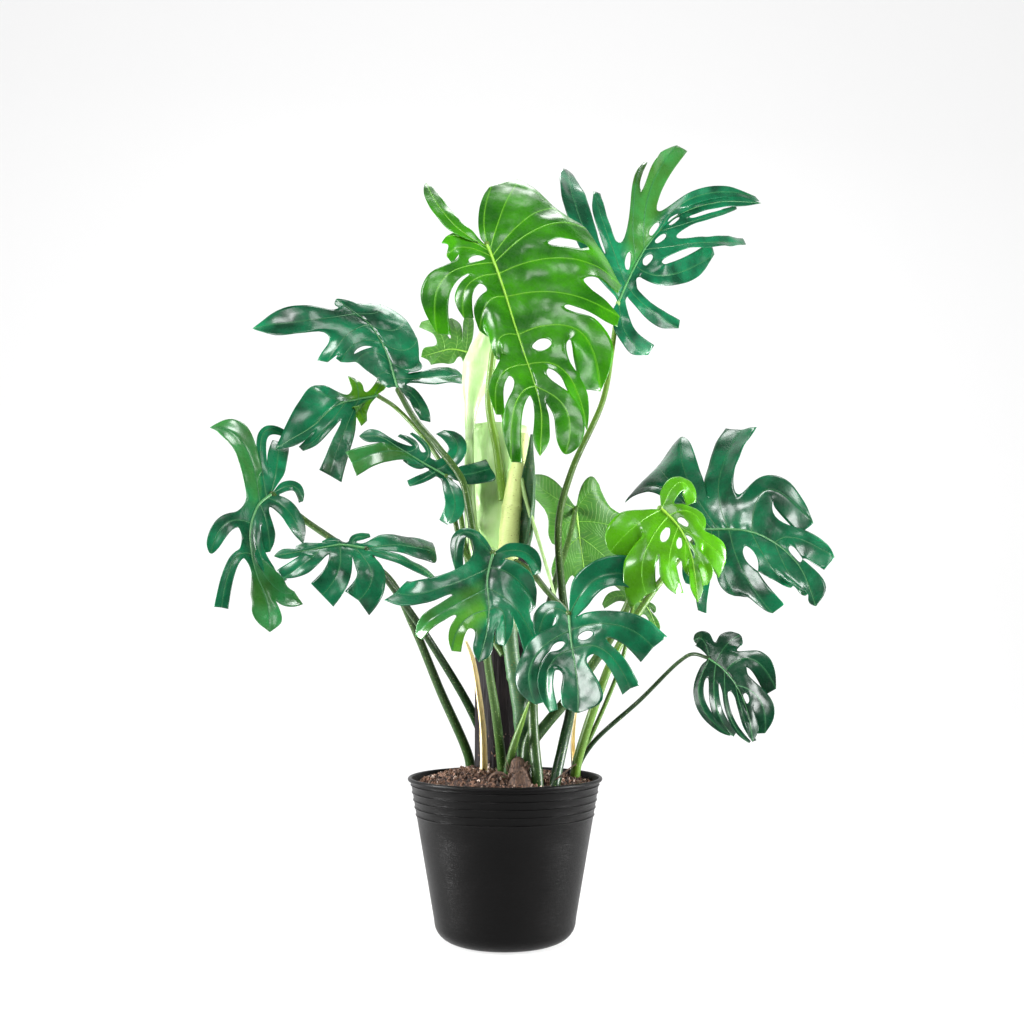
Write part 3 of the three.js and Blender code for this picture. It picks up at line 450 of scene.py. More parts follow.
def laid_over(tree, below, colour, mask, start=0, full=1, most=1):
    """A colour laid over another, from nothing where the mask is at start to its most at full."""
    share = add_node(tree, "ShaderNodeMapRange", {
        "Value": mask, "From Min": start, "From Max": full, "To Min": 0, "To Max": most})
    return add_node(tree, "ShaderNodeMix", {
        "Factor": share.outputs[0], MIX_BELOW: below, MIX_ABOVE: colour,
    }, data_type="RGBA").outputs[MIX_RESULT]


def dress(shader, colour, roughness, relief=None, height=0, more=None):
    """Gives a shader its colour, its roughness and a relief whose height is in millimetres. The
    roughness is one number, or a pattern with the numbers at its low and at its high places."""
    tree = shader.id_data
    if isinstance(roughness, tuple):
        mask, low, high = roughness
        roughness = add_node(tree, "ShaderNodeMapRange", {
            "Value": mask, "From Min": 0.3, "From Max": 0.7, "To Min": low, "To Max": high,
        }).outputs[0]
    set_inputs(shader, {"Base Color": colour, "Roughness": roughness, **(more or {})})
    if relief is not None:
        bump = add_node(tree, "ShaderNodeBump", {"Height": relief, "Distance": height * MM})
        set_inputs(shader, {"Normal": bump.outputs[0]})


def moulded_plastic(colour):
    """Injection moulded polypropylene: near black and satin. The turned mould has left fine marks
    round it, which draw its highlights out into tall soft streaks. The marks are drawn coarser
    than they are, so that they show."""
    material, tree, shader = new_material("Moulded polypropylene")
    cloudy = pattern(tree, 60)
    turning_marks = pattern(tree, 0.4, detail=1, stretch=(0.02, 0.02, 1))
    clouded = laid_over(tree, colour, linear("080707"), cloudy)
    dress(shader, clouded, (cloudy, 0.32, 0.4), turning_marks, 0.22, {"Specular IOR Level": 0.1})
    return material


@functools.cache
def bark_chips(dark, light):
    """Composted pine bark: matt chips from near black to pinkish brown, a few of them pale."""
    material, tree, shader = new_material("Composted bark")
    tone = add_node(tree, "ShaderNodeAttribute", attribute_name="tone").outputs["Fac"]
    grain = pattern(tree, 1.5, stretch=(1, 1, 3))
    brown = laid_over(tree, dark, light, tone, full=0.65)
    mixed = laid_over(tree, brown, linear("d3bdae"), tone, start=0.87, full=0.95)
    grained = laid_over(tree, mixed, linear("1b0f0b"), grain, start=0.7, full=0.35, most=0.45)
    dress(shader, grained, 0.82, grain, 0.5)
    return material


def damp_soil():
    """Damp peat: nearly black brown crumbs between the chips."""
    material, tree, shader = new_material("Damp peat")
    crumbs = pattern(tree, 3, detail=6)
    brown = laid_over(tree, linear("180e0a"), linear("4a2c20"), crumbs, start=0.35, full=0.7)
    dress(shader, brown, 0.9, crumbs, 2)
    return material


def pole_fibre(colour):
    """Dark tree fern fibre, pressed round: long grain, dull with a faint waxy sheen."""
    material, tree, shader = new_material("Tree fern fibre")
    fibres = pattern(tree, 2.2, detail=5, stretch=(1, 1, 0.06), distortion=0.4)
    patches = pattern(tree, 30)
    grained = laid_over(tree, linear("080506"), colour, fibres, start=0.3, full=0.75)
    patched = laid_over(tree, grained, linear("1c1413"), patches, start=0.45, full=0.8, most=0.5)
    dress(shader, patched, (fibres, 0.75, 0.5), fibres, 0.8, {"Specular IOR Level": 0.12})
    return material


def stalk_skin(settings):
    """Living leaf stalk: smooth waxy skin that is paler where the growth is young, with fine
    length-wise streaks and small pale specks."""
    material, tree, shader = new_material("Stalk skin")
    youth = add_node(tree, "ShaderNodeAttribute", attribute_name="youth").outputs["Fac"]
    streaks = pattern(tree, 3, stretch=(1, 1, 0.08))
    specks = pattern(tree, 1.6, detail=0)
    young = laid_over(tree, settings.green, settings.young, youth, full=0.6)
    skin = laid_over(tree, young, settings.pale, youth, start=0.6)
    streaked = laid_over(tree, skin, linear("163d1a"), streaks, start=0.45, full=0.75, most=0.35)
    spotted = laid_over(tree, streaked, linear("b9cf8a"), specks, start=0.72, full=0.8, most=0.5)
    dress(shader, spotted, (streaks, 0.32, 0.45), streaks, 0.25, {
        "Specular IOR Level": 0.3, "Coat Weight": 0.1, "Coat Roughness": 0.2})
    return material


def stem_skin():
    """Main stem: pale yellow green with brown specks above, and green and smooth lower down."""
    material, tree, shader = new_material("Stem skin")
    youth = add_node(tree, "ShaderNodeAttribute", attribute_name="youth").outputs["Fac"]
    rings = pattern(tree, 2.5, detail=4, stretch=(0.3, 0.3, 2))
    specks = pattern(tree, 3, detail=2)
    skin = laid_over(tree, linear("24502a"), linear("c2d083"), youth)
    ringed = laid_over(tree, skin, linear("8ea054"), rings, start=0.5, full=0.8, most=0.3)
    spotted = laid_over(tree, ringed, linear("6d5b2c"), specks, start=0.66, full=0.74)
    dress(shader, spotted, 0.45, rings, 0.4)
    return material


def new_growth(settings):
    """Furled new leaf: tender and nearly white green, with fine length-wise veins and a soft
    gloss. A little light passes into it."""
    material, tree, shader = new_material("New growth")
    veins = pattern(tree, 2, stretch=(1, 1, 0.07))
    patches = pattern(tree, 28)
    pale = laid_over(tree, settings.pale, linear("a3cc82"), patches, start=0.35, full=0.7)
    veined = laid_over(tree, pale, linear("8cbc62"), veins, start=0.5, full=0.75, most=0.3)
    dress(shader, veined, 0.34, veins, 0.3, {
        "Subsurface Weight": 0.15, "Subsurface Radius": (4 * MM, 8 * MM, 3 * MM),
        "Subsurface Scale": 1})
    return material


def dry_paper(settings):
    """Dry leaf sheath: thin tan paper with darker length-wise fibres, quite matt."""
    material, tree, shader = new_material("Dry leaf sheath")
    fibres = pattern(tree, 1.8, detail=4, stretch=(1, 1, 0.05))
    tan = laid_over(tree, settings.dry, linear("ab8a50"), fibres, start=0.45, full=0.7, most=0.5)
    dress(shader, tan, 0.7, fibres, 0.4)
    return material


def root_bark():
    """Old root: brown and woody, with a rough fibrous surface."""
    material, tree, shader = new_material("Root bark")
    fibres = pattern(tree, 2.5, detail=5, stretch=(1, 1, 0.3))
    brown = laid_over(tree, linear("180e09"), linear("5f4432"), fibres, start=0.3, full=0.7)
    dress(shader, brown, 0.8, fibres, 1)
    return material


def vein_pattern(tree):
    """Fine veins that leave each side vein at a slant, as a height from 0 to 1."""
    span = add_node(tree, "ShaderNodeAttribute", attribute_name="span").outputs["Fac"]
    run = add_node(tree, "ShaderNodeAttribute", attribute_name="run").outputs["Fac"]
    slant = add_node(tree, "ShaderNodeMath", {
        0: span, 1: -FINE_VEIN_SLANT, 2: run}, operation="MULTIPLY_ADD")
    turns = add_node(tree, "ShaderNodeMath", {
        0: slant.outputs[0], 1: 2 * math.pi / FINE_VEIN_PITCH}, operation="MULTIPLY")
    wave = add_node(tree, "ShaderNodeMath", {0: turns.outputs[0]}, operation="COSINE")
    return add_node(tree, "ShaderNodeMapRange", {
        "Value": wave.outputs[0], "From Min": 0.75, "From Max": 1}).outputs[0]


def leaf_skin(name, base, lighter, glow, vein):
    """Living leaf, upper side: a smooth waxy cuticle with strong soft highlights. The side veins
    are paler lines, the finest veins a faint relief, and the colour varies from lobe to lobe.
    A lobe's tone mark paints shade on it below 0. Above 0 it lays on a yellow green that is
    partly the lobe's own colour and partly painted light showing through it."""
    material, tree, shader = new_material(name)
    patches = pattern(tree, 55)
    mottle = pattern(tree, 6)
    fine = vein_pattern(tree)
    tone = add_node(tree, "ShaderNodeAttribute", attribute_name="tone").outputs["Fac"]
    span = add_node(tree, "ShaderNodeAttribute", attribute_name="span").outputs["Fac"]
    skin = laid_over(tree, base, lighter, patches, start=0.35, full=0.7)
    mottled = laid_over(tree, skin, base, mottle, start=0.4, full=0.75, most=0.35)
    # Painted shade: a tone below 0 darkens the lobe toward a near black green.
    with_painted_shade = laid_over(tree, mottled, linear("032012"), tone, full=-1, most=0.8)
    # A tone above 0 lays on the glow colour: partly the lobe's own yellow green, partly painted light
    # showing through it.
    lit = laid_over(tree, with_painted_shade, glow, tone)
    veined = laid_over(tree, lit, vein, span, start=2.2 * MM, full=0.5 * MM, most=0.3)
    netted = laid_over(tree, veined, vein, fine, most=0.05)
    dress(shader, netted, (mottle, 0.23, 0.35), fine, 0.03, {
        "Specular IOR Level": 0.18, "Coat Weight": 0.4, "Coat Roughness": 0.19})
    return material


def leaf_underside(under, vein):
    """Living leaf, lower side: paler and yellower than the top, and nearly matt."""
    material, tree, shader = new_material("Leaf underside")
    patches = pattern(tree, 40)
    fine = vein_pattern(tree)
    skin = laid_over(tree, under, linear("1f4f0a"), patches, start=0.35, full=0.7)
    dress(shader, laid_over(tree, skin, vein, fine, most=0.1), 0.5, fine, 0.2)
    return material


def vein_skin(name, base, pale):
    """Midrib and side veins: a paler, slightly yellow green that fades toward the margin."""
    material, tree, shader = new_material(name)
    youth = add_node(tree, "ShaderNodeAttribute", attribute_name="youth").outputs["Fac"]
    streaks = pattern(tree, 5, detail=2)
    faded = laid_over(tree, base, pale, youth)
    dress(shader, laid_over(tree, faded, base, streaks, start=0.4, full=0.7, most=0.25), 0.38)
    return material


def studio_paper(colour, glow):
    """Pale seamless paper, lit from behind as well: matt and almost without shadow."""
    material, tree, shader = new_material("Pale studio paper")
    dress(shader, colour, 0.9, more={"Emission Color": (1, 1, 1, 1), "Emission Strength": glow})
    return material


# Geometry trees

def tree_with(name, inputs):
    """A geometry tree with named inputs. Returns it, its input node and the inputs' keys."""
    tree = bpy.data.node_groups.new(name, "GeometryNodeTree")
    keys = {}
    for label, kind in [("Geometry", "NodeSocketGeometry"), *inputs]:
        keys[label] = tree.interface.new_socket(label, in_out="INPUT", socket_type=kind).identifier
    tree.interface.new_socket("Geometry", in_out="OUTPUT", socket_type="NodeSocketGeometry")
    return tree, add_node(tree, "NodeGroupInput"), keys


def close_tree(tree, geometry, material):
    """Ends a tree: real geometry with its material."""
    real = add_node(tree, "GeometryNodeRealizeInstances", {"Geometry": geometry})
    final = add_node(tree, "GeometryNodeSetMaterial", {
        "Geometry": real.outputs[0], "Material": material,
    })
    add_node(tree, "NodeGroupOutput", {"Geometry": final.outputs[0]})


def grown(name, mesh, tree, keys, values):
    """The plain mesh that a geometry tree makes of a mesh."""
    carrier = in_scene(name, mesh)
    modifier = carrier.modifiers.new("Grow", "NODES")
    modifier.node_group = tree
    for label, value in values.items():
        modifier[keys[label]] = value
    made = plain_copy(carrier)
    made.name = name
    return made


@functools.cache
def tube_tree():
    """Round tubes along the edges of a mesh, as thick as its girth marks say."""
    tree, given, keys = tree_with("Tubes along paths", [
        ("Sides", "NodeSocketInt"), ("Material", "NodeSocketMaterial")])
    paths = add_node(tree, "GeometryNodeMeshToCurve", {"Mesh": given.outputs["Geometry"]})
    section = add_node(tree, "GeometryNodeCurvePrimitiveCircle", {
        "Resolution": given.outputs["Sides"], "Radius": 1.0})
    girth = add_node(tree, "GeometryNodeInputNamedAttribute", {"Name": "girth"}, data_type="FLOAT")
    tubes = add_node(tree, "GeometryNodeCurveToMesh", {
        "Curve": paths.outputs[0], "Profile Curve": section.outputs[0],
        "Scale": girth.outputs["Attribute"], "Fill Caps": True,
    })
    close_tree(tree, tubes.outputs[0], given.outputs["Material"])
    return tree, keys


@functools.cache
def scatter_tree():
    """Chips strewn over a surface, each turned and sized at random, with a random tone."""
    tree, given, keys = tree_with("Strewn chips", [
        ("Chips", "NodeSocketCollection"), ("Density", "NodeSocketFloat"),
        ("Length", "NodeSocketFloat"), ("Seed", "NodeSocketInt"), ("Material", "NodeSocketMaterial")])
    places = add_node(tree, "GeometryNodeDistributePointsOnFaces", {
        "Mesh": given.outputs["Geometry"], "Density": given.outputs["Density"],
        "Seed": given.outputs["Seed"],
    })
    kinds = add_node(tree, "GeometryNodeCollectionInfo", {
        "Collection": given.outputs["Chips"], "Separate Children": True, "Reset Children": True})
    turn = add_node(tree, "FunctionNodeRandomValue", {
        "Min": (0, 0, 0), "Max": (2 * math.pi,) * 3, "Seed": given.outputs["Seed"],
    }, data_type="FLOAT_VECTOR")
    smallest, largest = (
        add_node(tree, "ShaderNodeMath", {0: given.outputs["Length"], 1: share}, operation="MULTIPLY")
        for share in CHIP_SIZES
    )
    size = add_node(tree, "FunctionNodeRandomValue", {
        RANDOM_LOW: smallest.outputs[0], RANDOM_HIGH: largest.outputs[0],
        "Seed": given.outputs["Seed"],
    }, data_type="FLOAT")
    chips = add_node(tree, "GeometryNodeInstanceOnPoints", {
        "Points": places.outputs["Points"], "Instance": kinds.outputs[0], "Pick Instance": True,
        "Rotation": turn.outputs[0], "Scale": size.outputs[RANDOM_RESULT],
    })
    tone = add_node(tree, "FunctionNodeRandomValue", {
        RANDOM_LOW: 0.0, RANDOM_HIGH: 1.0, "Seed": TONE_SEED}, data_type="FLOAT")
    toned = add_node(tree, "GeometryNodeStoreNamedAttribute", {
        "Geometry": chips.outputs[0], "Name": "tone", "Value": tone.outputs[RANDOM_RESULT],
    }, data_type="FLOAT", domain="INSTANCE")
    close_tree(tree, toned.outputs[0], given.outputs["Material"])
    return tree, keys


class Strands:
    """Paths with a girth and a youth at each point, which become round tubes."""

    def __init__(self):
        self.points = []
        self.edges = []
        self.girth = []
        self.youth = []

    def add(self, points, girth, youth):
        start = len(self.points)
        self.points += points
        self.girth += girth
        self.youth += youth
        self.edges += [(i, i + 1) for i in range(start, len(self.points) - 1)]

    def tubes(self, name, material, sides):
        mesh = new_mesh(name + "_paths", self.points, [], self.edges)
        set_marks(mesh, "girth", self.girth)
        set_marks(mesh, "youth", self.youth)
        tree, keys = tube_tree()
        return grown(name, mesh, tree, keys, {"Sides": sides, "Material": material})


# Blades

# Shares of the way along a side vein at which a blade has corners. Each gap between two of them
# is halved for a smoother blade.
ROWS = [0, 0.16, 0.28, 0.52, 0.86, 1]
HOLED_ROWS = [0, 0.06, 0.16, 0.28, 0.4, 0.6, 0.86, 1]
DEEP_ROWS = [0, 0.04, 0.1, 0.17, 0.25, 0.48, 0.78, 1]
SMALL_ROWS = [0, 0.25, 0.6, 1]
FIRST_FREE_ROW = 3
NO_HOLE = (2, 2)

# How a side vein lies, as shares of its length
VEIN_ARCH = 0.06
TIP_DROOP = 0.1
CURL = (-0.15, 0.5)
CURL_START = 0.5
TANGENT_REACH = 0.02

# The width of a lobe, as shares of its own. A lobe that is blunter than POINTED is round.
WIDTH_GAIN = 1.1
BLUNT_GAIN = 1.1
ROOT_WIDTH = 0.72
WIDEST = 0.5
FLARE = 1.12
CUT_START = 0.76
HOOK = 0.08
POINTED = 4
TIP_BLUNT = 2.2

# How far a margin may come toward the next lobe, and how far it is folded, in radians
ROOM = 0.485
SINUS = 0.5
BULGE = 0.25
LEAST_STEP = 0.15
HOLE_WIDTH = 0.5
HOLE_ROUNDNESS = 0.7
FOLD = 0.14
FOLDS = (-0.4, 0.3)
TWISTS = (-0.35, 0.35)

# The line of corners between a vein and its margin: how far across it lies, and how far it swells
MID_SHARE = 0.45
MID_PUFF = 0.005

# A sheet's relief is full where half a lobe is this wide. At a vein it has only a part of it.
FULL_RELIEF_WIDTH = 16 * MM
WAVES_PER_METRE = 28
RIPPLES_PER_METRE = 90
RIPPLE_SHARE = 0.1
VEIN_FREEDOM = 0.35

# Veins, with a midrib's radius as a share of its stalk's, and a long side vein's in millimetres
MIDRIB_SHARE = 0.55
SIDE_VEIN_RADIUS = 0.85
VEIN_STEP = 5 * MM
VEIN_SIDES = 8


def lobe(tip, width, **options):
    """One lobe, from its tip and half width. Its vein goes by way of via. The slit is the share of
    the vein up to which it is joined to the next lobe, and a hole is the row at which the joint
    is open. Back is how far behind the leaf's plane the tip lies, in millimetres. Corners say
    whether its end has one on the side toward the leaf's root, and toward the leaf's tip."""
    return dict(tip=tip, width=width, slit=0.16, blunt=2.6, corners=(False, True)) | options


# Every leaf lies near a plane: a depth at the root of its midrib, and a slope, which is what one
# pixel to the right and one pixel down add to that depth. Ribs are the shares of the midrib at
# which side veins leave it, and end is where the lobe at the tip begins. The lobes of the two
# halves are listed from the root up. A tone runs from -1, dark with painted shade, to 1, a yellow
# green that is partly the lobe's own colour and partly painted light showing through it. A stalk's
# radii and its youth run from its foot to the blade: 0 is old green, and 1 is new growth.
LEAVES = [
    dict(
        name="top_front", finish="bright", limp=0.5, depth=-130, slope=(0.3, -0.8), rows=HOLED_ROWS,
        midrib=[(487, 244), (503, 287), (518, 335), (532, 377), (541, 410), (540, 456)],
        ribs=(0.015, 0.035, 0.06, 0.09, 0.14, 0.24, 0.4, 0.54, 0.66), end=0.76, width=11, blunt=3,
        lobes=[[
            lobe((491, 188), 8, via=(484, 218), slit=1, blunt=4),
            lobe((520, 178), 30, via=(504, 206), slit=1),
            lobe((557, 208), 30, via=(527, 218), slit=1),
            lobe((588, 224), 26, via=(543, 226), slit=1, hole=0.6, open=0.26),
            lobe((622, 285), 40, via=(568, 258), slit=0.6, blunt=3),
            lobe((619, 319), 20, via=(566, 294), slit=0.4),
            lobe((602, 388), 32, via=(577, 330), slit=0.4, blunt=3.2, hole=0.16, open=0.34),
            lobe((588, 429), 14, via=(566, 373), corners=(False, False)),
            lobe((564, 458), 19, via=(567, 412), blunt=5),
        ], [
            lobe((426, 178), 13, via=(449, 219), blunt=4),
            lobe((446, 234), 10, via=(462, 237), slit=0.86),
            lobe((447, 254), 12, via=(464, 247), slit=0.4, hole=0.16),
            lobe((438, 330), 21, via=(443, 279), slit=0.28, blunt=3),
            lobe((464, 318), 12, via=(468, 285), slit=0.28),
            lobe((480, 328), 14, via=(488, 302), slit=0.86, blunt=3),
            lobe((497, 360), 14, via=(500, 338), slit=0.4, blunt=3),
            lobe((497, 412), 10, via=(500, 376), slit=0.28),
            lobe((511, 463), 12, via=(515, 405), blunt=3),
        ]],
        stalk=dict(path=[
            (503, 500, -36), (497, 450, -34), (489, 405, -44), (492, 360, -70), (498, 320, -92),
            (493, 275, -112),
        ], radii=(7, 5.5, 4.5), youth=(0.6, 0.5)),
    ),
    dict(
        name="top_right", finish="dark", depth=120, slope=(0.8, -0.5), rows=DEEP_ROWS,
        midrib=[(618, 303), (634, 268), (652, 239), (680, 214), (720, 202), (761, 203)],
        ribs=(0.02, 0.1, 0.22, 0.32, 0.45), end=0.56, width=11,
        lobes=[[
            lobe((575, 160), 26, via=(579, 216), slit=0.25, blunt=4),
            lobe((593, 192), 14, via=(608, 236), slit=0.25, hole=0.1),
            lobe((646, 160), 6, via=(634, 196), slit=0.5, tone=0.35),
            lobe((676, 146), 20, via=(650, 190), slit=0.25, blunt=3.5, hole=0.1, tone=0.4),
            lobe((757, 195), 12, via=(697, 196), slit=0.25, hole=0.1),
        ], [
            lobe((647, 356), 17, via=(625, 332), slit=0.1),
            lobe((678, 329), 16, via=(648, 308), slit=0.1),
            lobe((719, 250), 20, via=(670, 275), slit=0.25, hole=0.1),
            lobe((753, 238), 12, via=(695, 243), slit=0.25, hole=0.1),
            lobe((738, 208), 6, via=(700, 219), slit=0.25, hole=0.1),
        ]],
        stalk=dict(path=[
            (555, 783, -88), (563, 745, -66), (571, 705, -22), (572, 660, 12), (562, 590, 44),
            (559, 520, 72), (572, 470, 90), (603, 400, 112), (612, 350, 122),
        ], radii=(8, 6, 4), youth=(0, 0, 0.3, 0.7)),
    ),
    dict(
        name="upper_left", finish="dark", depth=10, slope=(0.5, -0.8),
        midrib=[(398, 390), (386, 352), (370, 325), (352, 311), (336, 299)],
        ribs=(0.02, 0.07, 0.18, 0.32, 0.5, 0.7), end=0.8, width=14,
        lobes=[[
            lobe((421, 418), 14, via=(416, 399), back=12),
            lobe((465, 372), 20, via=(428, 378), slit=0.28, corners=(True, True)),
            lobe((419, 362), 14, via=(410, 370), slit=1),
            lobe((418, 338), 18, via=(405, 350), slit=1),
            lobe((405, 315), 18, via=(395, 330), slit=1),
            lobe((380, 303), 18, via=(378, 312), slit=0.86),
        ], [
            lobe((385, 386), 7, via=(391, 385), slit=1),
            lobe((376, 377), 10, via=(386, 372), slit=1),
            lobe((356, 362), 14, via=(371, 352), slit=1, hole=0.52, open=0.3),
            lobe((341, 361), 14, via=(358, 342), slit=0.86),
            lobe((328, 360), 14, via=(348, 334), slit=0.52),
            lobe((253, 325), 30, via=(303, 321), slit=0.28, blunt=3, corners=(False, False)),
        ]],
        stalk=dict(path=[
            (503, 628, -56), (489, 590, -74), (475, 545, -78), (470, 514, -78), (462, 480, -76),
            (437, 446, -66), (414, 418, -26),
        ], radii=(7, 5.5, 4.5), youth=(0.15, 0.1)),
    ),
    dict(
        name="hanging_left", finish="dark", depth=40, slope=(0.9, -0.5), rows=SMALL_ROWS,
        midrib=[(378, 396), (356, 400), (336, 405), (314, 425), (275, 449)],
        ribs=(0.05, 0.22, 0.38), end=0.5, width=18, blunt=3,
        lobes=[[
            lobe((385, 379), 9, via=(380, 386), slit=0.25, tone=0.9),
            lobe((355, 377), 10, via=(358, 389), slit=0.25, tone=0.8),
            lobe((310, 384), 13, via=(328, 396), slit=1, blunt=3),
        ], [
            lobe((367, 421), 14, via=(361, 408), slit=0.25, blunt=3, tone=0.9),
            lobe((330, 475), 20, via=(342, 438), slit=0.25, corners=(True, True)),
            lobe((304, 450), 9, via=(326, 428), slit=0.6),
        ]],
        stalk=dict(path=[
            (503, 655, -54), (487, 628, -42), (474, 590, -22), (465, 548, 2), (460, 512, 20),
            (450, 480, 36), (434, 452, 48), (414, 426, 72), (395, 407, 80),
        ], radii=(5, 4, 3.5), youth=(0.15, 0.3)),
    ),
    dict(
        name="far_left", finish="dark", depth=-90, slope=(0.8, -0.6),
        midrib=[(272, 494), (258, 506), (250, 532), (255, 570), (267, 600), (270, 632)],
        ribs=(0.02, 0.07, 0.17, 0.34, 0.52), end=0.66, width=24, blunt=2.6, tip_tone=0.25,
        lobes=[[
            lobe((304, 500), 9, via=(292, 486)),
            lobe((304, 543), 15, via=(290, 513), slit=0.06, corners=(False, False)),
            lobe((270, 552), 10, via=(267, 525)),
            lobe((283, 572), 10, via=(266, 566)),
            lobe((294, 592), 18, via=(276, 588), slit=0.52, tone=0.2),
        ], [
            lobe((279, 440), 15, via=(277, 466), slit=0.28, corners=(True, True)),
            lobe((286, 438), 8, via=(262, 436), slit=0.06),
            lobe((211, 425), 26, via=(244, 445), slit=0.06, blunt=3, tone=0.25, corners=(False, False)),
            lobe((211, 555), 12, via=(225, 524), blunt=5),
            lobe((222, 607), 8, via=(233, 562), corners=(True, True)),
        ]],
        stalk=dict(path=[
            (469, 758, 80), (440, 690, 50), (413, 625, 0), (388, 578, -40), (338, 543, -60),
            (303, 519, -66),
        ], radii=(8, 6, 4.5), youth=(0.05, 0.1)),
    ),
    dict(
        name="lower_left", finish="dark", depth=-120, slope=(0.6, -0.9),
        midrib=[(366, 549), (340, 545), (310, 550), (274, 556)],
        ribs=(0.02, 0.16, 0.34, 0.55), end=0.7, width=8,
        lobes=[[
            lobe((437, 551), 24, via=(402, 545), corners=(True, True)),
            lobe((371, 536), 6, via=(355, 538)),
            lobe((322, 541), 5, via=(336, 541), slit=0.4),
            lobe((296, 546), 5, via=(310, 546), slit=0.4),
        ], [
            lobe((440, 577), 11, via=(406, 561), back=22),
            lobe((360, 597), 21, via=(372, 574), corners=(True, True)),
            lobe((322, 595), 19, via=(338, 572), corners=(True, True)),
            lobe((284, 576), 15, via=(308, 561), slit=0.28),
        ]],
        stalk=dict(path=[
            (490, 757, 88), (472, 712, 60), (433, 646, 10), (404, 603, -44), (380, 570, -92),
        ], radii=(8, 6, 4.5), youth=(0, 0.05)),
    ),
    dict(
        name="middle_left", finish="dark", depth=-50, slope=(0.05, -0.4),
        midrib=[(446, 476), (425, 464), (402, 450), (380, 437), (359, 436)],
        ribs=(0.02, 0.12, 0.28, 0.46), end=0.62, width=11,
        lobes=[[
            lobe((491, 468), 18, via=(468, 474), back=2, corners=(True, True)),
            lobe((444, 428), 14, via=(458, 450), blunt=2),
            lobe((412, 431), 4, via=(428, 450), slit=0.28),
            lobe((400, 434), 5, via=(416, 446), slit=0.28),
        ], [
            lobe((447, 523), 15, via=(455, 502)),
            lobe((409, 485), 8, via=(427, 477)),
            lobe((403, 461), 5, via=(420, 466), slit=0.28),
            lobe((352, 464), 19, via=(380, 452), slit=0.28, tone=0.3, corners=(True, True)),
        ]],
        stalk=dict(path=[
            (507, 590, -48), (485, 574, -46), (466, 556, -40), (457, 530, -34), (452, 500, -36),
        ], radii=(4.5, 3.5), youth=(0.2, 0.2)),
    ),
    dict(
        name="front_left", finish="dark", depth=-160, slope=(0.3, -0.7),
        midrib=[(493, 553), (487, 580), (489, 610), (486, 636), (479, 662)],
        ribs=(0.02, 0.14, 0.32, 0.5), end=0.64, width=14,
        lobes=[[
            lobe((540, 574), 12, via=(524, 552), blunt=3),
            lobe((536, 606), 20, via=(514, 577), slit=0.86),
            lobe((537, 646), 23, via=(516, 608), slit=0.6),
            lobe((505, 645), 14, via=(503, 612), slit=0.6, blunt=3),
        ], [
            lobe((455, 569), 10, via=(463, 532), slit=0.06, blunt=3),
            lobe((396, 593), 21, via=(430, 592), slit=0.28, corners=(True, True)),
            lobe((416, 633), 13, via=(440, 614), slit=0.4, tone=0.3),
            lobe((452, 650), 11, via=(463, 622), slit=0.4, tone=0.7),
        ]],
        stalk=dict(path=[
            (502, 767, -40), (496, 715, -70), (487, 655, -110), (484, 600, -138), (488, 566, -152),
        ], radii=(7.5, 6, 4.5), youth=(0.1, 0.2)),
    ),
    dict(
        name="front_right", finish="dark", depth=-235, slope=(-0.2, -0.6), rows=HOLED_ROWS,
        midrib=[(569, 614), (571, 640), (575, 665), (578, 690), (578, 713)],
        ribs=(0.02, 0.16, 0.34), end=0.42, width=42, blunt=2.6,
        lobes=[[
            lobe((642, 581), 23, via=(600, 577), slit=0.06, blunt=3, back=26, corners=(True, True)),
            lobe((653, 648), 21, via=(618, 625), slit=0.4, hole=0.16, corners=(True, True)),
            lobe((630, 687), 11, via=(604, 650), slit=0.28, corners=(True, True)),
        ], [
            lobe((537, 640), 14, via=(549, 610)),
            lobe((535, 703), 22, via=(533, 660), hole=0.16),
            lobe((549, 711), 12, via=(549, 668), slit=0.4),
        ]],
        stalk=dict(path=[
            (512, 560, -44), (528, 569, -90), (548, 592, -180),
        ], radii=(5, 4), youth=(0.05, 0.15)),
    ),
    dict(
        name="back_centre", finish="under", depth=170, slope=(0.2, 0.8), rows=SMALL_ROWS,
        midrib=[(576, 508), (580, 540), (588, 596)],
        ribs=(0.02, 0.22, 0.45), end=0.6, width=18,
        lobes=[[
            lobe((600, 486), 24, via=(590, 492), slit=0.6),
            lobe((664, 552), 30, via=(618, 528), slit=0.6),
            lobe((640, 590), 26, via=(604, 556), slit=0.6),
        ], [
            lobe((526, 477), 24, via=(549, 494), slit=0.6),
            lobe((552, 544), 15, via=(561, 526), slit=0.6),
            lobe((556, 584), 18, via=(563, 556), slit=0.6),
        ]],
        stalk=dict(path=[
            (538, 783, -90), (534, 740, -82), (533, 700, -66), (541, 640, 10), (556, 580, 90),
            (570, 535, 150),
        ], radii=(8.5, 7, 4), youth=(0.05, 0.15)),
    ),
    dict(
        name="bright_right", finish="bright", tone=0.2, depth=-170, slope=(0.3, -0.9), rows=HOLED_ROWS,
        midrib=[(660, 508), (677, 525), (690, 550), (698, 602)],
        ribs=(0.03, 0.16, 0.36, 0.54), end=0.68, width=9,
        lobes=[[
            lobe((697, 500), 14, via=(680, 482), blunt=3),
            lobe((704, 531), 14, via=(691, 512), slit=0.6, hole=0.16),
            lobe((727, 560), 20, via=(707, 543), slit=0.4, blunt=3, hole=0.16),
            lobe((709, 582), 10, via=(703, 564), slit=0.4, hole=0.16),
        ], [
            lobe((610, 552), 26, via=(635, 526), slit=0.4, blunt=4),
            lobe((648, 592), 24, via=(644, 556), slit=0.4, blunt=3, hole=0.16, corners=(True, True)),
            lobe((676, 594), 14, via=(669, 563), slit=0.4, blunt=3, hole=0.16),
            lobe((690, 574), 6, via=(686, 560), slit=0.28),
        ]],
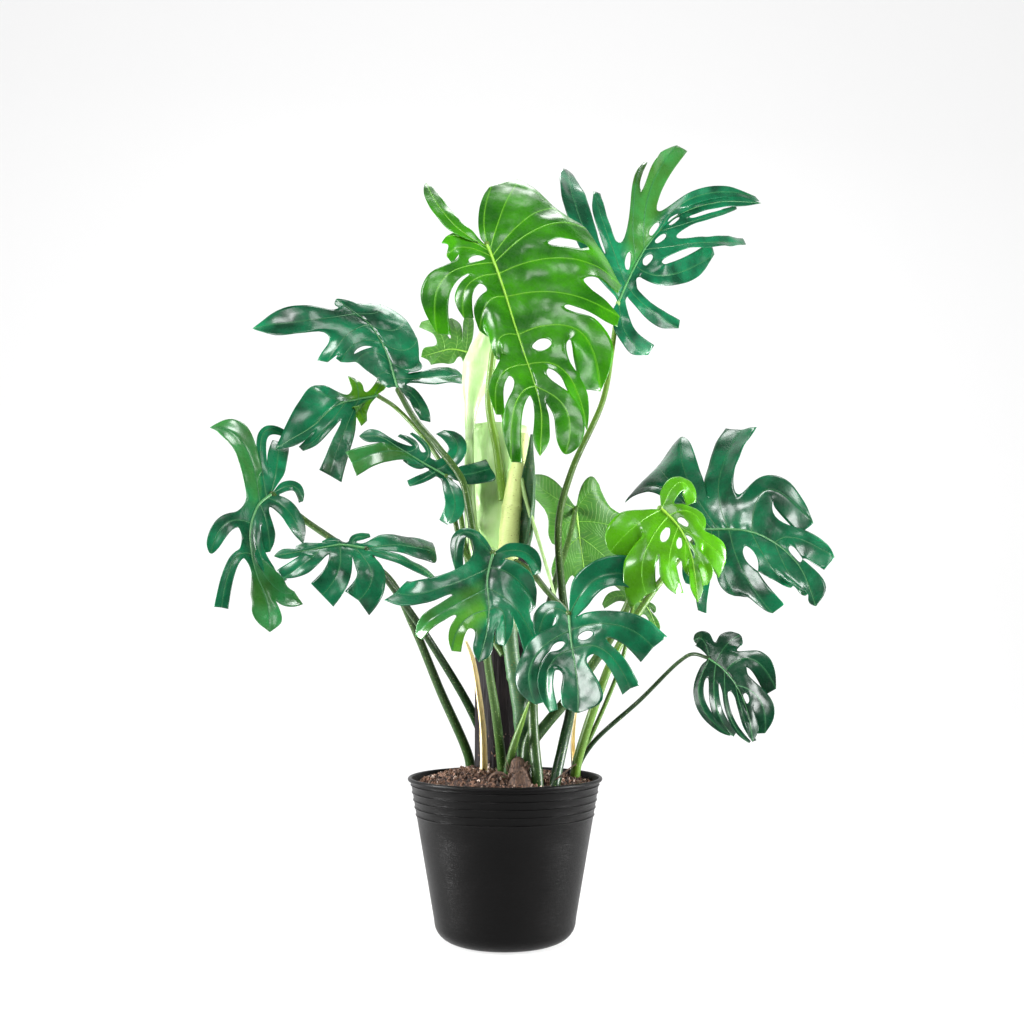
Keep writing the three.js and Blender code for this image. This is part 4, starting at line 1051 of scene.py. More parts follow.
        stalk=dict(path=[
            (524, 771, -60), (531, 745, -58), (548, 722, -57), (565, 702, -56), (590, 668, -54),
            (618, 625, -60), (640, 575, -92), (654, 530, -146),
        ], radii=(9, 7, 4), youth=(0, 0.1, 0.5)),
    ),
    dict(
        name="dark_right", finish="dark", depth=0, slope=(-0.8, -0.8),
        midrib=[(704, 530), (745, 531), (775, 543), (800, 567), (816, 606)],
        ribs=(0.02, 0.05, 0.09, 0.15, 0.3, 0.5), end=0.66, width=26, blunt=3.5,
        lobes=[[
            lobe((623, 505), 15, via=(658, 486), slit=1),
            lobe((654, 460), 20, via=(672, 484), slit=1),
            lobe((681, 434), 22, via=(686, 476), slit=0.28, blunt=4),
            lobe((742, 431), 27, via=(719, 480), slit=0.28, corners=(True, True)),
            lobe((812, 520), 24, via=(768, 489), slit=0.28, blunt=3.5),
            lobe((835, 558), 22, via=(797, 538), slit=0.52, blunt=3.5, hole=0.28),
        ], [
            lobe((686, 584), 10, via=(692, 558)),
            lobe((695, 606), 12, via=(704, 568), slit=0.28),
            lobe((735, 597), 14, via=(722, 566), slit=0.86),
            lobe((773, 614), 20, via=(744, 574), slit=0.52, hole=0.28),
            lobe((791, 588), 14, via=(770, 565), slit=0.86),
            lobe((806, 596), 12, via=(790, 576), slit=0.86),
        ]],
        stalk=dict(path=[
            (576, 768, 20), (585, 735, 12), (596, 702, 6), (612, 660, 8), (640, 610, 26), (676, 562, 36),
        ], radii=(8, 6, 4.5), youth=(0.4, 0.3)),
    ),
    dict(
        name="low_right", finish="dark", tone=-1, depth=-120, slope=(-0.4, -0.8), rows=HOLED_ROWS,
        midrib=[(708, 658), (722, 668), (736, 685), (747, 710), (753, 741)],
        ribs=(0.03, 0.14, 0.3, 0.5), end=0.68, width=10,
        lobes=[[
            lobe((693, 640), 13, via=(703, 640), slit=0.4, blunt=4),
            lobe((741, 634), 18, via=(727, 644), slit=0.4, blunt=4),
            lobe((776, 688), 15, via=(752, 659), slit=0.28),
            lobe((765, 733), 14, via=(760, 700), slit=0.4, blunt=3.5, hole=0.16),
        ], [
            lobe((733, 736), 7, via=(700, 702), blunt=4),
            lobe((733, 733), 8, via=(716, 706)),
            lobe((749, 741), 4, via=(729, 714)),
            lobe((752, 739), 5, via=(742, 712), slit=0.28),
        ]],
        stalk=dict(path=[
            (578, 768, 48), (592, 744, 40), (640, 700, 4), (680, 661, -70), (694, 654, -104),
        ], radii=(4, 3.4, 2.6), youth=(0, 0.05)),
    ),
    dict(
        name="behind_top", finish="under", depth=120, slope=(0.0, 0.5), rows=SMALL_ROWS,
        midrib=[(468, 352), (452, 349), (438, 352), (421, 357)],
        ribs=(0.05, 0.25, 0.5), end=0.65, width=13, blunt=3.5,
        lobes=[[
            lobe((468, 312), 9, via=(468, 330), slit=0.06, blunt=5),
            lobe((451, 318), 11, via=(457, 334), slit=0.06, blunt=3),
            lobe((421, 322), 10, via=(438, 330), slit=0.06),
        ], [
            lobe((470, 370), 8, via=(468, 362)),
            lobe((448, 364), 8, via=(452, 357), slit=0.86),
            lobe((431, 365), 8, via=(436, 360), slit=0.86),
        ]],
        stalk=dict(path=[
            (519, 455, -32), (509, 432, 0), (495, 392, 60), (481, 364, 104),
        ], radii=(4, 3), youth=(0.5, 0.5)),
    ),
    dict(
        name="small_back", finish="under", depth=110, slope=(0.0, 0.4), rows=SMALL_ROWS,
        midrib=[(634, 598), (646, 606), (659, 633)],
        ribs=(0.05, 0.4), end=0.6, width=7,
        lobes=[[
            lobe((652, 592), 6, via=(643, 592), slit=0.28),
            lobe((656, 612), 5, via=(651, 606), slit=0.4),
        ], [
            lobe((602, 604), 10, via=(618, 596), slit=0.28),
            lobe((632, 632), 9, via=(634, 616), slit=0.28),
        ]],
        stalk=dict(path=[
            (574, 770, 70), (588, 742, 70), (607, 700, 70), (622, 660, 72), (630, 622, 84),
        ], radii=(4, 3), youth=(0.2, 0.3)),
    ),
]


def on_leaf(leaf, place, offset=0):
    """A pixel on the plane that a leaf lies near."""
    (px, py), (root_x, root_y) = place, leaf["midrib"][0]
    depth = leaf["depth"] + leaf["slope"][0] * (px - root_x) + leaf["slope"][1] * (py - root_y)
    return seen(px, py, depth + offset)


def leaf_normal(leaf):
    """The normal of a leaf's plane, toward the eye."""
    across, up = leaf["slope"]
    return Vector((across / MM_PER_PIXEL, -1, -up / MM_PER_PIXEL)).normalized()


def vein_curve(leaf, root, spec):
    """A side vein from its root on the midrib to its tip, arching up and drooping at the end."""
    reach = (root - on_leaf(leaf, spec["tip"])).length / MM
    end = on_leaf(leaf, spec["tip"], spec.get("back", TIP_DROOP * reach))
    middle = on_leaf(leaf, spec["via"], -VEIN_ARCH * reach)
    return bent_curve(root, middle, end)


def lobe_width(width, blunt, along, has_corner):
    """Half width of a lobe at a share of its vein. A blunt lobe swells and then rounds off. A
    pointed one widens toward its end, and is cut at a slant on a side that has no corner."""
    full = width * MM * WIDTH_GAIN
    if blunt < POINTED:
        cut = 1 if has_corner else min(1, (1 - along) / (1 - CUT_START))
        return full * cut * (ROOT_WIDTH + (FLARE - ROOT_WIDTH) * along)
    taper = max(0, (along - WIDEST) / (1 - WIDEST))
    rise = math.sin(math.pi / 2 * min(1, along / WIDEST))
    return full * (ROOT_WIDTH + (1 - ROOT_WIDTH) * rise) * (1 - taper ** (blunt * BLUNT_GAIN))


def halved(rows):
    """A list of rows with another row in the middle of each gap."""
    return sorted(rows + [(a + b) / 2 for a, b in zip(rows, rows[1:])])


class Strip:
    """One lobe of a blade: its vein, its width and how it ends. The slit is the share of its vein
    up to which it is joined to the next lobe."""

    def __init__(self, curve, width, blunt, slit=0, hole=None, tone=0, folds=(0, 0), open_by=None,
                 corners=(False, False)):
        self.at = curve
        self.width = width
        self.blunt = blunt
        self.slit = slit
        self.hole = hole
        self.tone = tone
        self.folds = folds
        self.open_by = open_by or HOLE_WIDTH
        self.corners = corners
        self.is_pointed = blunt < POINTED

    def tangent(self, along):
        ahead = self.at(min(1, along + TANGENT_REACH))
        return (ahead - self.at(max(0, along - TANGENT_REACH))).normalized()


class Blade:
    """The cage of a blade: corners on its midrib and veins, and the margins between them."""

    def __init__(self, leaf):
        self.leaf = leaf
        self.cad_rows = leaf.get("rows", ROWS)
        self.rows = halved(self.cad_rows)
        self.last = len(self.rows) - 1
        self.normal = leaf_normal(leaf)
        self.midrib = smooth_curve([on_leaf(leaf, place) for place in leaf["midrib"]])
        self.points = []
        self.marks = []
        self.faces = []
        self.sharp = set()
        self.spine = {}
        self.veins = []
        self.random = random.Random(leaf["name"])
        self.build()

    def add(self, point, across=0, tone=0, span=0, run=0, wide=0):
        self.points.append(point)
        self.marks.append(dict(across=across, tone=tone, span=span, run=run, wide=wide))
        return len(self.points) - 1

    def spine_corner(self, t):
        """The corner on the midrib at t, which both halves of the blade share."""
        key = round(t, 5)
        if key not in self.spine:
            self.spine[key] = self.add(self.midrib(t), tone=self.leaf.get("tone", 0))
        return self.spine[key]

    def vein(self, side, index):
        """A side vein. Its outer part curls away from the eye, more on some lobes than others."""
        leaf = self.leaf
        plain = vein_curve(leaf, self.midrib(leaf["ribs"][index]), leaf["lobes"][side][index])
        rng = random.Random(f"{leaf['name']} {side} {index}")
        curl = self.normal * ((plain(1) - plain(0)).length * rng.uniform(*CURL))
        return lambda s: plain(s) - curl * max(0, s - CURL_START) ** 2

    def build(self):
        leaf, ribs, end = self.leaf, self.leaf["ribs"], self.leaf["end"]
        self.count = len(ribs)
        self.stations = []
        for i, rib in enumerate(ribs):
            self.stations += [0 if i == 0 else (ribs[i - 1] + rib) / 2, rib]
        self.stations += [(ribs[-1] + end) / 2, end]
        to_tip = lambda along: self.midrib(end + (1 - end) * along)
        tone = leaf.get("tip_tone", leaf.get("tone", 0))
        self.tip_strip = Strip(to_tip, leaf["width"], leaf.get("blunt", TIP_BLUNT), tone=tone)
        self.tip_corners = [self.spine_corner(end)]
        self.tip_corners += [self.add(to_tip(along), tone=tone) for along in self.rows[1:]]
        if self.tip_strip.is_pointed:
            self.sharp.add(self.tip_corners[-1])
        for side in (0, 1):
            self.build_half(side)

    def side_strips(self, side):
        """The lobes of one half. Each margin is folded up or down by a little, at random."""
        strips = []
        for i, spec in enumerate(self.leaf["lobes"][side]):
            tone = spec.get("tone", self.leaf.get("tone", 0))
            limp = self.leaf.get("limp", 1)
            fold, twist = limp * self.random.uniform(*FOLDS), limp * self.random.uniform(*TWISTS)
            strips.append(Strip(
                self.vein(side, i), spec["width"], spec["blunt"], spec["slit"], spec.get("hole"), tone,
                (fold - twist, fold + twist), spec.get("open"), spec["corners"]))
        return strips

    def build_half(self, side):
        """Corners and faces of one half of the blade, on one side of its midrib."""
        rows, last, count, points = self.rows, self.last, self.count, self.points
        strips = self.side_strips(side)
        self.veins.append(strips)
        strips = [*strips, self.tip_strip]
        opposite = self.vein(1 - side, 0)
        veins = []
        for i, strip in enumerate(strips[:-1]):
            line = [self.spine_corner(self.stations[2 * i + 1])]
            line += [self.add(strip.at(along), tone=strip.tone) for along in rows[1:]]
            veins.append(line)
            if strip.is_pointed and strip.slit < 1:
                self.sharp.add(line[-1])
        veins.append(self.tip_corners)

        turning = 0
        for first, second in zip(strips, strips[1:]):
            across = second.at(0.5) - first.at(0.5)
            turning += math.copysign(1, across.dot(first.tangent(0.5).cross(self.normal)))
        turn = math.copysign(1, turning)

        def margin(i, toward, j, before):
            """The place of lobe i's free margin at row j, on the side toward another lobe."""
            strip = strips[i]
            forward = strip.tangent(rows[j])
            side_way = forward.cross(self.normal).normalized() * turn * (toward - i)
            base = points[veins[i][j]]
            sinus = SINUS * (base - points[veins[i][0]]).length
            if toward >= 0:
                room = ROOM * (base - points[veins[toward][j]]).length
            else:
                room = min(sinus, ROOM * (base - opposite(rows[j])).length)
            has_corner = strip.corners[toward > i]
            width = min(lobe_width(strip.width, strip.blunt, rows[j], has_corner), room)
            rise = FOLD + strip.folds[toward > i] * min(1, 2 * rows[j])
            place = base + side_way * (width * math.cos(rise)) + self.normal * (width * math.sin(rise))
            if has_corner and j == last - 1 and strip.is_pointed:
                place += forward * ((points[veins[i][last]] - base).length + HOOK * width)
            step = LEAST_STEP * (base - points[veins[i][j - 1]]).length
            ahead = (place - points[before]).dot(forward)
            return place + forward * max(0, step - ahead)

        fore = [[None] * (last + 1) for _ in strips]
        aft = [[None] * (last + 1) for _ in strips]
        for i, strip in enumerate(strips):
            gap = strips[i - 1] if i > 0 else None
            hole_low, hole_high = self.hole_rows(gap)
            for j, along in enumerate(rows):
                if j == 0:
                    aft[i][j] = fore[i][j] = self.spine_corner(self.stations[2 * i])
                elif j == last and gap and gap.slit == 1:
                    outer = (points[veins[i - 1][j]] + points[veins[i][j]]) / 2
                    step = (outer - points[fore[i][j - 1]]) * BULGE
                    aft[i][j] = fore[i][j] = self.add(outer + step, 0.5, strip.tone)
                elif j == last:
                    aft[i][j] = veins[i][last]
                    fore[i][j] = veins[i - 1][last] if gap else None
                elif i == 0:
                    place = margin(0, -1, j, aft[i][j - 1])
                    aft[i][j] = self.add(place, 1, strip.tone)
                else:
                    before, after = points[veins[i - 1][j]], points[veins[i][j]]
                    middle = (before + after) / 2
                    if hole_low < along < hole_high:
                        share = (along - hole_low) / (hole_high - hole_low)
                        open_by = gap.open_by * math.sin(math.pi * share) ** HOLE_ROUNDNESS
                        fore[i][j] = self.add(middle.lerp(before, open_by), 1, gap.tone)
                        aft[i][j] = self.add(middle.lerp(after, open_by), 1, strip.tone)
                    elif j < FIRST_FREE_ROW or along <= gap.slit + 1e-6:
                        tone = (strip.tone + gap.tone) / 2
                        fore[i][j] = aft[i][j] = self.add(middle, 0.5, tone)
                    else:
                        place = margin(i - 1, i, j, fore[i][j - 1])
                        fore[i][j] = self.add(place, 1, gap.tone)
                        place = margin(i, i - 1, j, aft[i][j - 1])
                        aft[i][j] = self.add(place, 1, strip.tone)
                        if j == last - 1:
                            sides = ((fore[i][j], gap, 1), (aft[i][j], strip, 0))
                            self.sharp |= {
                                corner for corner, owner, way in sides
                                if owner.corners[way] and owner.is_pointed
                            }

        half = []
        for i, strip in enumerate(strips):
            half += self.side_faces(i, strip, veins[i], aft[i], -1)
            if i < count:
                half += self.side_faces(i, strip, veins[i], fore[i + 1], 1)
        facing = sum((self.face_normal(face) for face in half), Vector())
        flip = facing.dot(self.normal) < 0
        self.faces += [face[::-1] if flip else face for face in half]

    def hole_rows(self, gap):
        """The rows between which the gap before a lobe is a closed hole."""
        if gap is None or gap.hole is None:
            return NO_HOLE
        index = self.cad_rows.index(gap.hole)
        return self.cad_rows[index - 1], self.cad_rows[index + 1]

    def side_faces(self, i, strip, vein, edge, way):
        """Faces of one side of a lobe, from its vein to its margin, with a line of corners between."""
        points = self.points
        self.measure(vein, edge)
        here = self.stations[2 * i + 1]
        middle = [self.spine_corner((here + self.stations[2 * i + 1 + way]) / 2)]
        for inner, outer in zip(vein[1:], edge[1:]):
            if outer == inner:
                middle.append(inner)
                continue
            reach = (points[outer] - points[inner]).length
            place = points[inner].lerp(points[outer], MID_SHARE) + self.normal * (MID_PUFF * reach)
            middle.append(self.add(
                place, MID_SHARE * self.marks[outer]["across"], strip.tone,
                MID_SHARE * reach, self.marks[inner]["run"], reach))
        faces = []
        for j in range(self.last):
            for first, second in ((vein, middle), (middle, edge)):
                ring = [first[j], second[j], second[j + 1], first[j + 1]]
                ring = [c for k, c in enumerate(ring) if c != ring[(k + 1) % 4]]
                if len(set(ring)) > 2:
                    faces.append(ring[::way])
        return faces

    def face_normal(self, face):
        a, b, c = (self.points[corner] for corner in face[:3])
        return (b - a).cross(c - a)

    def measure(self, vein, edge):
        """Marks how far each corner lies along its vein and from it, in metres."""
        run = 0
        for j, (inner, outer) in enumerate(zip(vein, edge)):
            if j:
                run += (self.points[inner] - self.points[vein[j - 1]]).length
            reach = (self.points[outer] - self.points[inner]).length
            self.marks[inner]["run"] = self.marks[outer]["run"] = run
            self.marks[inner]["wide"] = max(self.marks[inner]["wide"], reach)
            if outer != inner:
                self.marks[outer]["span"] = self.marks[outer]["wide"] = reach


def relief(mesh, leaf, settings):
    """Swells a sheet between its side veins and waves it toward its margins."""
    places = np.zeros(len(mesh.vertices) * 3)
    mesh.vertices.foreach_get("co", places)
    places = places.reshape(-1, 3)
    normals = np.zeros(len(mesh.vertices) * 3, np.float32)
    mesh.vertex_normals.foreach_get("vector", normals)
    normals = normals.reshape(-1, 3)
    across, wide = np.clip(get_marks(mesh, "across"), 0, 1), get_marks(mesh, "wide")
    room = np.clip(wide / FULL_RELIEF_WIDTH, 0, 1)
    swell = np.sin(np.pi * across) * settings.quilting * room
    shift = Vector((leaf["depth"], 0, 0)) * MM
    wave = np.array([noise.noise((Vector(p) + shift) * WAVES_PER_METRE) for p in places])
    ripple = np.array([noise.noise((Vector(p) + shift) * RIPPLES_PER_METRE) for p in places])
    freedom = VEIN_FREEDOM + (1 - VEIN_FREEDOM) * across
    height = swell + settings.waviness * room * (wave * freedom + RIPPLE_SHARE * ripple)
    mesh.vertices.foreach_set("co", (places + normals * height[:, None]).ravel())
    mesh.update()


def blade_sheet(leaf, settings):
    """The cage of a blade, and the smooth sheet that it gives, without thickness."""
    cage = Blade(leaf)
    mesh = new_mesh("sheet", cage.points, cage.faces)
    for name in cage.marks[0]:
        set_marks(mesh, name, [marks[name] for marks in cage.marks])
    set_marks(mesh, "crease_vert", [i in cage.sharp for i in range(len(cage.points))])
    carrier = in_scene("sheet", mesh)
    smoother = carrier.modifiers.new("Smooth", "SUBSURF")
    smoother.levels = smoother.render_levels = settings.levels
    sheet = plain_copy(carrier)
    relief(sheet, leaf, settings)
    return cage, sheet


def blade_veins(leaf, cage, sheet, name, material):
    """The midrib and side veins of a blade, half sunk in its sheet."""
    surface = BVHTree.FromPolygons(
        [v.co for v in sheet.vertices], [list(p.vertices) for p in sheet.polygons])
    side = -1 if leaf["finish"] == "under" else 1
    strands = Strands()

    def vein(curve, first, last, lift, youth):
        points, shares = evenly(curve, VEIN_STEP)
        girth = [(first + (last - first) * share ** 0.7) * MM for share in shares]
        line = []
        for point, radius in zip(points, girth):
            spot, normal, _, _ = surface.find_nearest(point)
            line.append(spot + normal * (radius * lift * side))
        strands.add(line, girth, [youth * (1 - 0.6 * share) for share in shares])

    vein(cage.midrib, MIDRIB_SHARE * leaf["stalk"]["radii"][-1], 0.35, lift=0.25, youth=1)
    for lobes in cage.veins:
        for strip in lobes:
            length = (strip.at(0) - strip.at(1)).length
            root = SIDE_VEIN_RADIUS * min(0.8, 0.25 + length / (180 * MM))
            vein(strip.at, root, 0.2, lift=0, youth=0.4)
    return strands.tubes(name, material, VEIN_SIDES)


# Shoots and sheaths: places in the view with their depths, and radii, all in millimetres
STEM = dict(
    path=[
        (526, 760, -26), (521, 712, -46), (511, 650, -54), (508, 600, -50), (509, 540, -44),
        (514, 490, -38), (524, 434, -30),
    ],
    radii=[13, 13, 12, 12, 14, 16, 13, 6],
)
NEW_LEAF = dict(
    path=[
        (509, 560, -46), (488, 552, -44), (474, 535, -34), (470, 500, -26), (471, 410, -20),
        (478, 368, -26), (487, 335, -32), (487, 299, -26),
    ],
    stalk_radii=[9, 10, 9, 7, 6.5, 5, 4],
    roll_radii=[6, 12, 22, 27, 23, 15, 8, 1.5],
)
SIDE_SHOOT = dict(
    path=[(507, 778, -68), (514, 745, -88), (522, 722, -102), (529, 702, -116)],
    radii=[6.5, 6.5, 6, 4, 1],
)
SIDE_BULB = dict(path=[(527, 772, -60), (527, 748, -62), (531, 727, -64)], radii=[9, 9, 9.5, 8, 3])
AERIAL_ROOT = dict(
    path=[(520, 470, -36), (526, 500, -56), (536, 532, -66), (548, 572, -76), (556, 600, -84)],
    radii=[3.2, 3, 2.6, 2],
)
OLD_STUB = dict(path=[(520, 786, -86), (519, 776, -85), (518, 764, -83)], radii=[22, 22, 18, 11])
SOIL_ROOTS = [
    dict(
        path=[(488, 784, -92), (492, 776, -96), (499, 773, -98), (506, 776, -96), (510, 784, -92)],
        radii=[2.2, 2.4, 2.2],
    ),
    dict(path=[(552, 782, -92), (562, 775, -96), (570, 768, -98), (576, 764, -98)], radii=[1.6, 1.3, 0.8]),
]

# Open sheaths. Each faces a way, and is open on that side by half angles in degrees.
DRY_SHEATH = dict(
    path=[(484, 771, -24), (483, 730, -32), (479, 695, -40), (473, 660, -42), (466, 641, -38)],
    radii=[5, 5, 4.6, 4, 3, 1.5], facing=(0.5, -1, 0), opening=[40, 50, 60, 80], thickness=0.8,
)
DRY_STRIP = dict(
    path=[(574, 772, 44), (573, 740, 40), (577, 706, 34)],
    radii=[3, 3.6, 3, 1], facing=(0.5, -1, 0), opening=[50, 60, 100], thickness=0.7,
)
STEM_SHEATH_RIGHT = dict(
    path=[(519, 548, -52), (524, 510, -54), (528, 470, -52), (531, 434, -46)],
    radii=[17, 17, 14, 8, 2], facing=(-0.6, -0.8, 0), opening=[60, 75, 95, 120], thickness=1,
)
STEM_SHEATH_LEFT = dict(
    path=[(480, 606, 16), (490, 560, 20), (498, 500, 25), (500, 428, 27)],
    radii=[20, 36, 45, 47, 46], facing=(0, 1, 0), opening=[120, 95, 80, 85, 110], thickness=1,
)
SHEATH_STEPS = 40
SHEATH_SIDES = 18

# The furled leaf: where its roll starts along the shoot, where its stalk stops inside it, and how
# often it is wound round.
ROLL_START = 0.52
ROLL_STALK_END = 0.86
ROLL_TURNS = 1.35
ROLL_STEPS = 70
ROLL_SIDES = 46

# Leaf scars on the main stem: how far up each is, and how many millimetres it stands out
STEM_SCARS = [(0.3, 1.2), (0.43, 1.5), (0.55, 1.8), (0.66, 1.5), (0.78, 1.5), (0.88, 1)]
SCAR_WIDTH = 0.008
STEM_GREEN_END = 0.42
STEM_FADE = 0.2

# Fibres of the old stub, which start this far from its middle
FIBRES = 60
FIBRE_SEED = 3
FIBRE_OUT = 15 * MM


def path_points(path):
    return [seen(*place) for place in path]


def rooted(path):
    """A path's places. A path that starts at the soil is carried on a little below it."""
    points = path_points(path)
    if path[0][1] <= SOIL_LINE:
        return points
    along = (points[0] - points[1]).normalized()
    down = Vector((along.x * 0.3, along.y * 0.3, -1)).normalized()
    return [points[0] + down * (ROOTING_DEPTH * 0.9), *points]


def stalk_path(leaf):
    """The places of a stalk, from its foot to the root of the midrib."""
    return [*rooted(leaf["stalk"]["path"]), on_leaf(leaf, leaf["midrib"][0])]


def shoot(strands, points, radii, youth, step, unevenness=0.03):
    """Adds one shoot through the points, with a slightly uneven girth and a rounded end."""
    places, shares = evenly(smooth_curve(points), step)
    girth = [along_list(radii, share) * MM for share in shares]
    girth = [g * (1 + unevenness * noise.noise(p * 60)) for g, p in zip(girth, places)]
    ages = [along_list(youth, share) for share in shares]
    end, ahead, size = places[-1], (places[-1] - places[-2]).normalized(), girth[-1]
    for turn in (30, 55, 75, 88):
        angle = math.radians(turn)
        places.append(end + ahead * (size * math.sin(angle)))
        girth.append(size * math.cos(angle))
        ages.append(ages[-1])
    strands.add(places, girth, ages)


def one_shoot(name, points, radii, youth, material, sides, step, unevenness=0.03):
    """The mesh of a single shoot."""
    strands = Strands()
    shoot(strands, points, radii, youth, step, unevenness)
    return strands.tubes(name, material, sides)


def section(curve, t, facing):
    """A curve's place at t, and the two directions across it, the first of them toward a facing."""
    ahead = (curve(min(1, t + 0.01)) - curve(max(0, t - 0.01))).normalized()
    out = (facing - ahead * facing.dot(ahead)).normalized()
    return curve(t), out, ahead.cross(out)


def band(low, high):
    """Faces between two rows of corners that stand side by side."""
    return [(low[k], low[k + 1], high[k + 1], high[k]) for k in range(len(low) - 1)]


def ring_band(low, high):
    """Faces between two rings of corners."""
    return band([*low, low[0]], [*high, high[0]])


def half_tube(name, sheath, material):
    """An open sheath along a path: an arc of a tube, open toward where it faces."""
    curve = smooth_curve(rooted(sheath["path"]))
    facing = Vector(sheath["facing"]).normalized()
    corners, faces, row = [], [], SHEATH_SIDES + 1
    for i in range(SHEATH_STEPS + 1):
        t = i / SHEATH_STEPS
        centre, out, side = section(curve, t, facing)
        radius = along_list(sheath["radii"], t) * MM
        spread = math.radians(along_list(sheath["opening"], t))
        for k in range(row):
            angle = spread + (2 * math.pi - 2 * spread) * k / SHEATH_SIDES
            flare = 1 + 0.12 * noise.noise(centre * 50 + Vector((k * 0.4, 0, 0)))
            corners.append(centre + (out * math.cos(angle) + side * math.sin(angle)) * radius * flare)
        if i:
            faces += band(range(i * row, (i + 1) * row), range((i - 1) * row, i * row))
    mesh = new_mesh(name, corners, faces)
    mesh.materials.append(material)
    return thickened(name, mesh, sheath["thickness"] * MM)


def furled_sheet(curve, material):
    """The roll of a new leaf round the upper part of a curve, wound a little over once."""
    corners, faces, row = [], [], ROLL_SIDES + 1
    for i in range(ROLL_STEPS + 1):
        share = i / ROLL_STEPS
        centre, out, side = section(curve, ROLL_START + (1 - ROLL_START) * share, Vector((0, -1, 0)))
        size = along_list(NEW_LEAF["roll_radii"], share) * MM
        start = math.radians(-70 + 130 * share)
        for k in range(row):
            angle = start + 2 * math.pi * ROLL_TURNS * k / ROLL_SIDES
            radius = size * (0.66 + 0.34 * (k / ROLL_SIDES) ** 0.8)
            radius *= 1 + 0.03 * noise.noise(centre * 40 + Vector((k * 0.2, 0, 0)))
            corners.append(centre + (out * math.cos(angle) + side * math.sin(angle)) * radius)
        if i:
            base = i * row
            faces += [(base + k, base + k - row, base + k - row + 1, base + k + 1)
                      for k in range(ROLL_SIDES)]
    roll = new_mesh("roll", corners, faces)
    roll.materials.append(material)
    return thickened("roll", roll, 1.2 * MM)


# Pot, pole and soil

def rounded(x, y, across, up, turns):
    """Points on a quarter ellipse that starts level at x and y, at turns in degrees."""
    angles = [math.radians(turn) for turn in turns]
    return [(x + across * math.sin(a), y + up * (1 - math.cos(a))) for a in angles]


def pot_wall(height):
    """Outer radius of the pot's wall."""
    return POT_SHOULDER_RADIUS + POT_TAPER * (height - POT_SHOULDER_HEIGHT)


def pot_profile(settings):
    """Half the pot's section, as radii and heights, from under its middle to inside it."""
    lip = POT_HEIGHT - 2 * LIP_RADIUS
    profile = [(0, FOOT_RISE), (POT_FOOT_RADIUS - 9 * MM, FOOT_RISE), (POT_FOOT_RADIUS - 6 * MM, 0)]
    profile.append((POT_FOOT_RADIUS, 0))
    profile += rounded(
        POT_FOOT_RADIUS, 0, POT_SHOULDER_RADIUS - POT_FOOT_RADIUS, POT_SHOULDER_HEIGHT,
        range(10, 90, 10))
    profile += [(pot_wall(z * MM), z * MM) for z in range(32, 172, 20)]
    for ring in reversed(range(settings.ring_count)):
        middle = RING_TOP - ring * settings.ring_pitch
        for offset, share in RING_PROFILE:
            height = middle + offset * MM
            profile.append((pot_wall(height) + settings.ring_depth * share, height))
    profile += [(pot_wall(lip - 2 * MM), lip - 2 * MM), (pot_wall(lip), lip - 0.6 * MM)]
    for turn in range(-80, 181, 20):
        angle = math.radians(turn)
        rise = lip + LIP_RADIUS * (1 + math.sin(angle))
        profile.append((POT_RIM_RADIUS - LIP_RADIUS * (1 - math.cos(angle)), min(rise, POT_HEIGHT)))
    return profile + [
        (pot_wall(RING_TOP) - POT_WALL, RING_TOP),
        (POT_SHOULDER_RADIUS - POT_WALL, POT_SHOULDER_HEIGHT),
        (POT_FOOT_RADIUS + 12 * MM, 8 * MM), (POT_FOOT_RADIUS - 4 * MM, POT_WALL), (0, POT_WALL),
    ]


def circle(radius, height, sides, x=0, y=0):
    """Corners round a level circle."""
    angles = [2 * math.pi * k / sides for k in range(sides)]
    return [(x + radius * math.cos(a), y + radius * math.sin(a), height) for a in angles]


def turned(name, profile, sides):
    """A profile of radii and heights, turned about the upright axis."""
    points, rings = [], []
    for radius, height in profile:
        if radius == 0:
            rings.append([len(points)] * sides)
            points.append((0, 0, height))
        else:
            rings.append(list(range(len(points), len(points) + sides)))
            points += circle(radius, height, sides)
    faces = [
        [c for i, c in enumerate(face) if c != face[(i + 1) % 4]]
        for low, high in zip(rings, rings[1:]) for face in ring_band(low, high)
    ]
    return new_mesh(name, points, faces)


def upright_rods(name, places, radius, half_height, sides=28):
    """Closed upright rods at places on the ground."""
    points, faces = [], []
    for x, y in places:
        low = list(range(len(points), len(points) + sides))
        high = [corner + sides for corner in low]
        points += circle(radius, -half_height, sides, x, y) + circle(radius, half_height, sides, x, y)
        faces += [low[::-1], high, *ring_band(low, high)]
    return new_mesh(name, points, faces)


def soil_height(x, y):
    reach = min(1, math.hypot(x, y) / MOUND_EDGE)
    return SOIL_EDGE_HEIGHT + (SOIL_MOUND - SOIL_SLOPE * x) * (1 - reach ** 2)


def soil_surface(rings, sides, edge):
    """The top of the soil, lumpy, as rings of corners from the edge to the middle."""
    points, faces = [], []
    for ring in range(rings):
        for x, y, _ in circle(edge * (1 - ring / rings), 0, sides):
            lump = noise.fractal(Vector((x, y, 0)) * LUMPS_PER_METRE, 1, 2, 3) * LUMP_HEIGHT
            points.append((x, y, soil_height(x, y) - CHIP_LAYER + lump))
    points.append((0, 0, soil_height(0, 0) - CHIP_LAYER))
    for start in range(0, (rings - 1) * sides, sides):
        faces += ring_band(range(start, start + sides), range(start + sides, start + 2 * sides))
    start = (rings - 1) * sides
    faces += [(start + k, start + (k + 1) % sides, len(points) - 1) for k in range(sides)]
    return points, faces


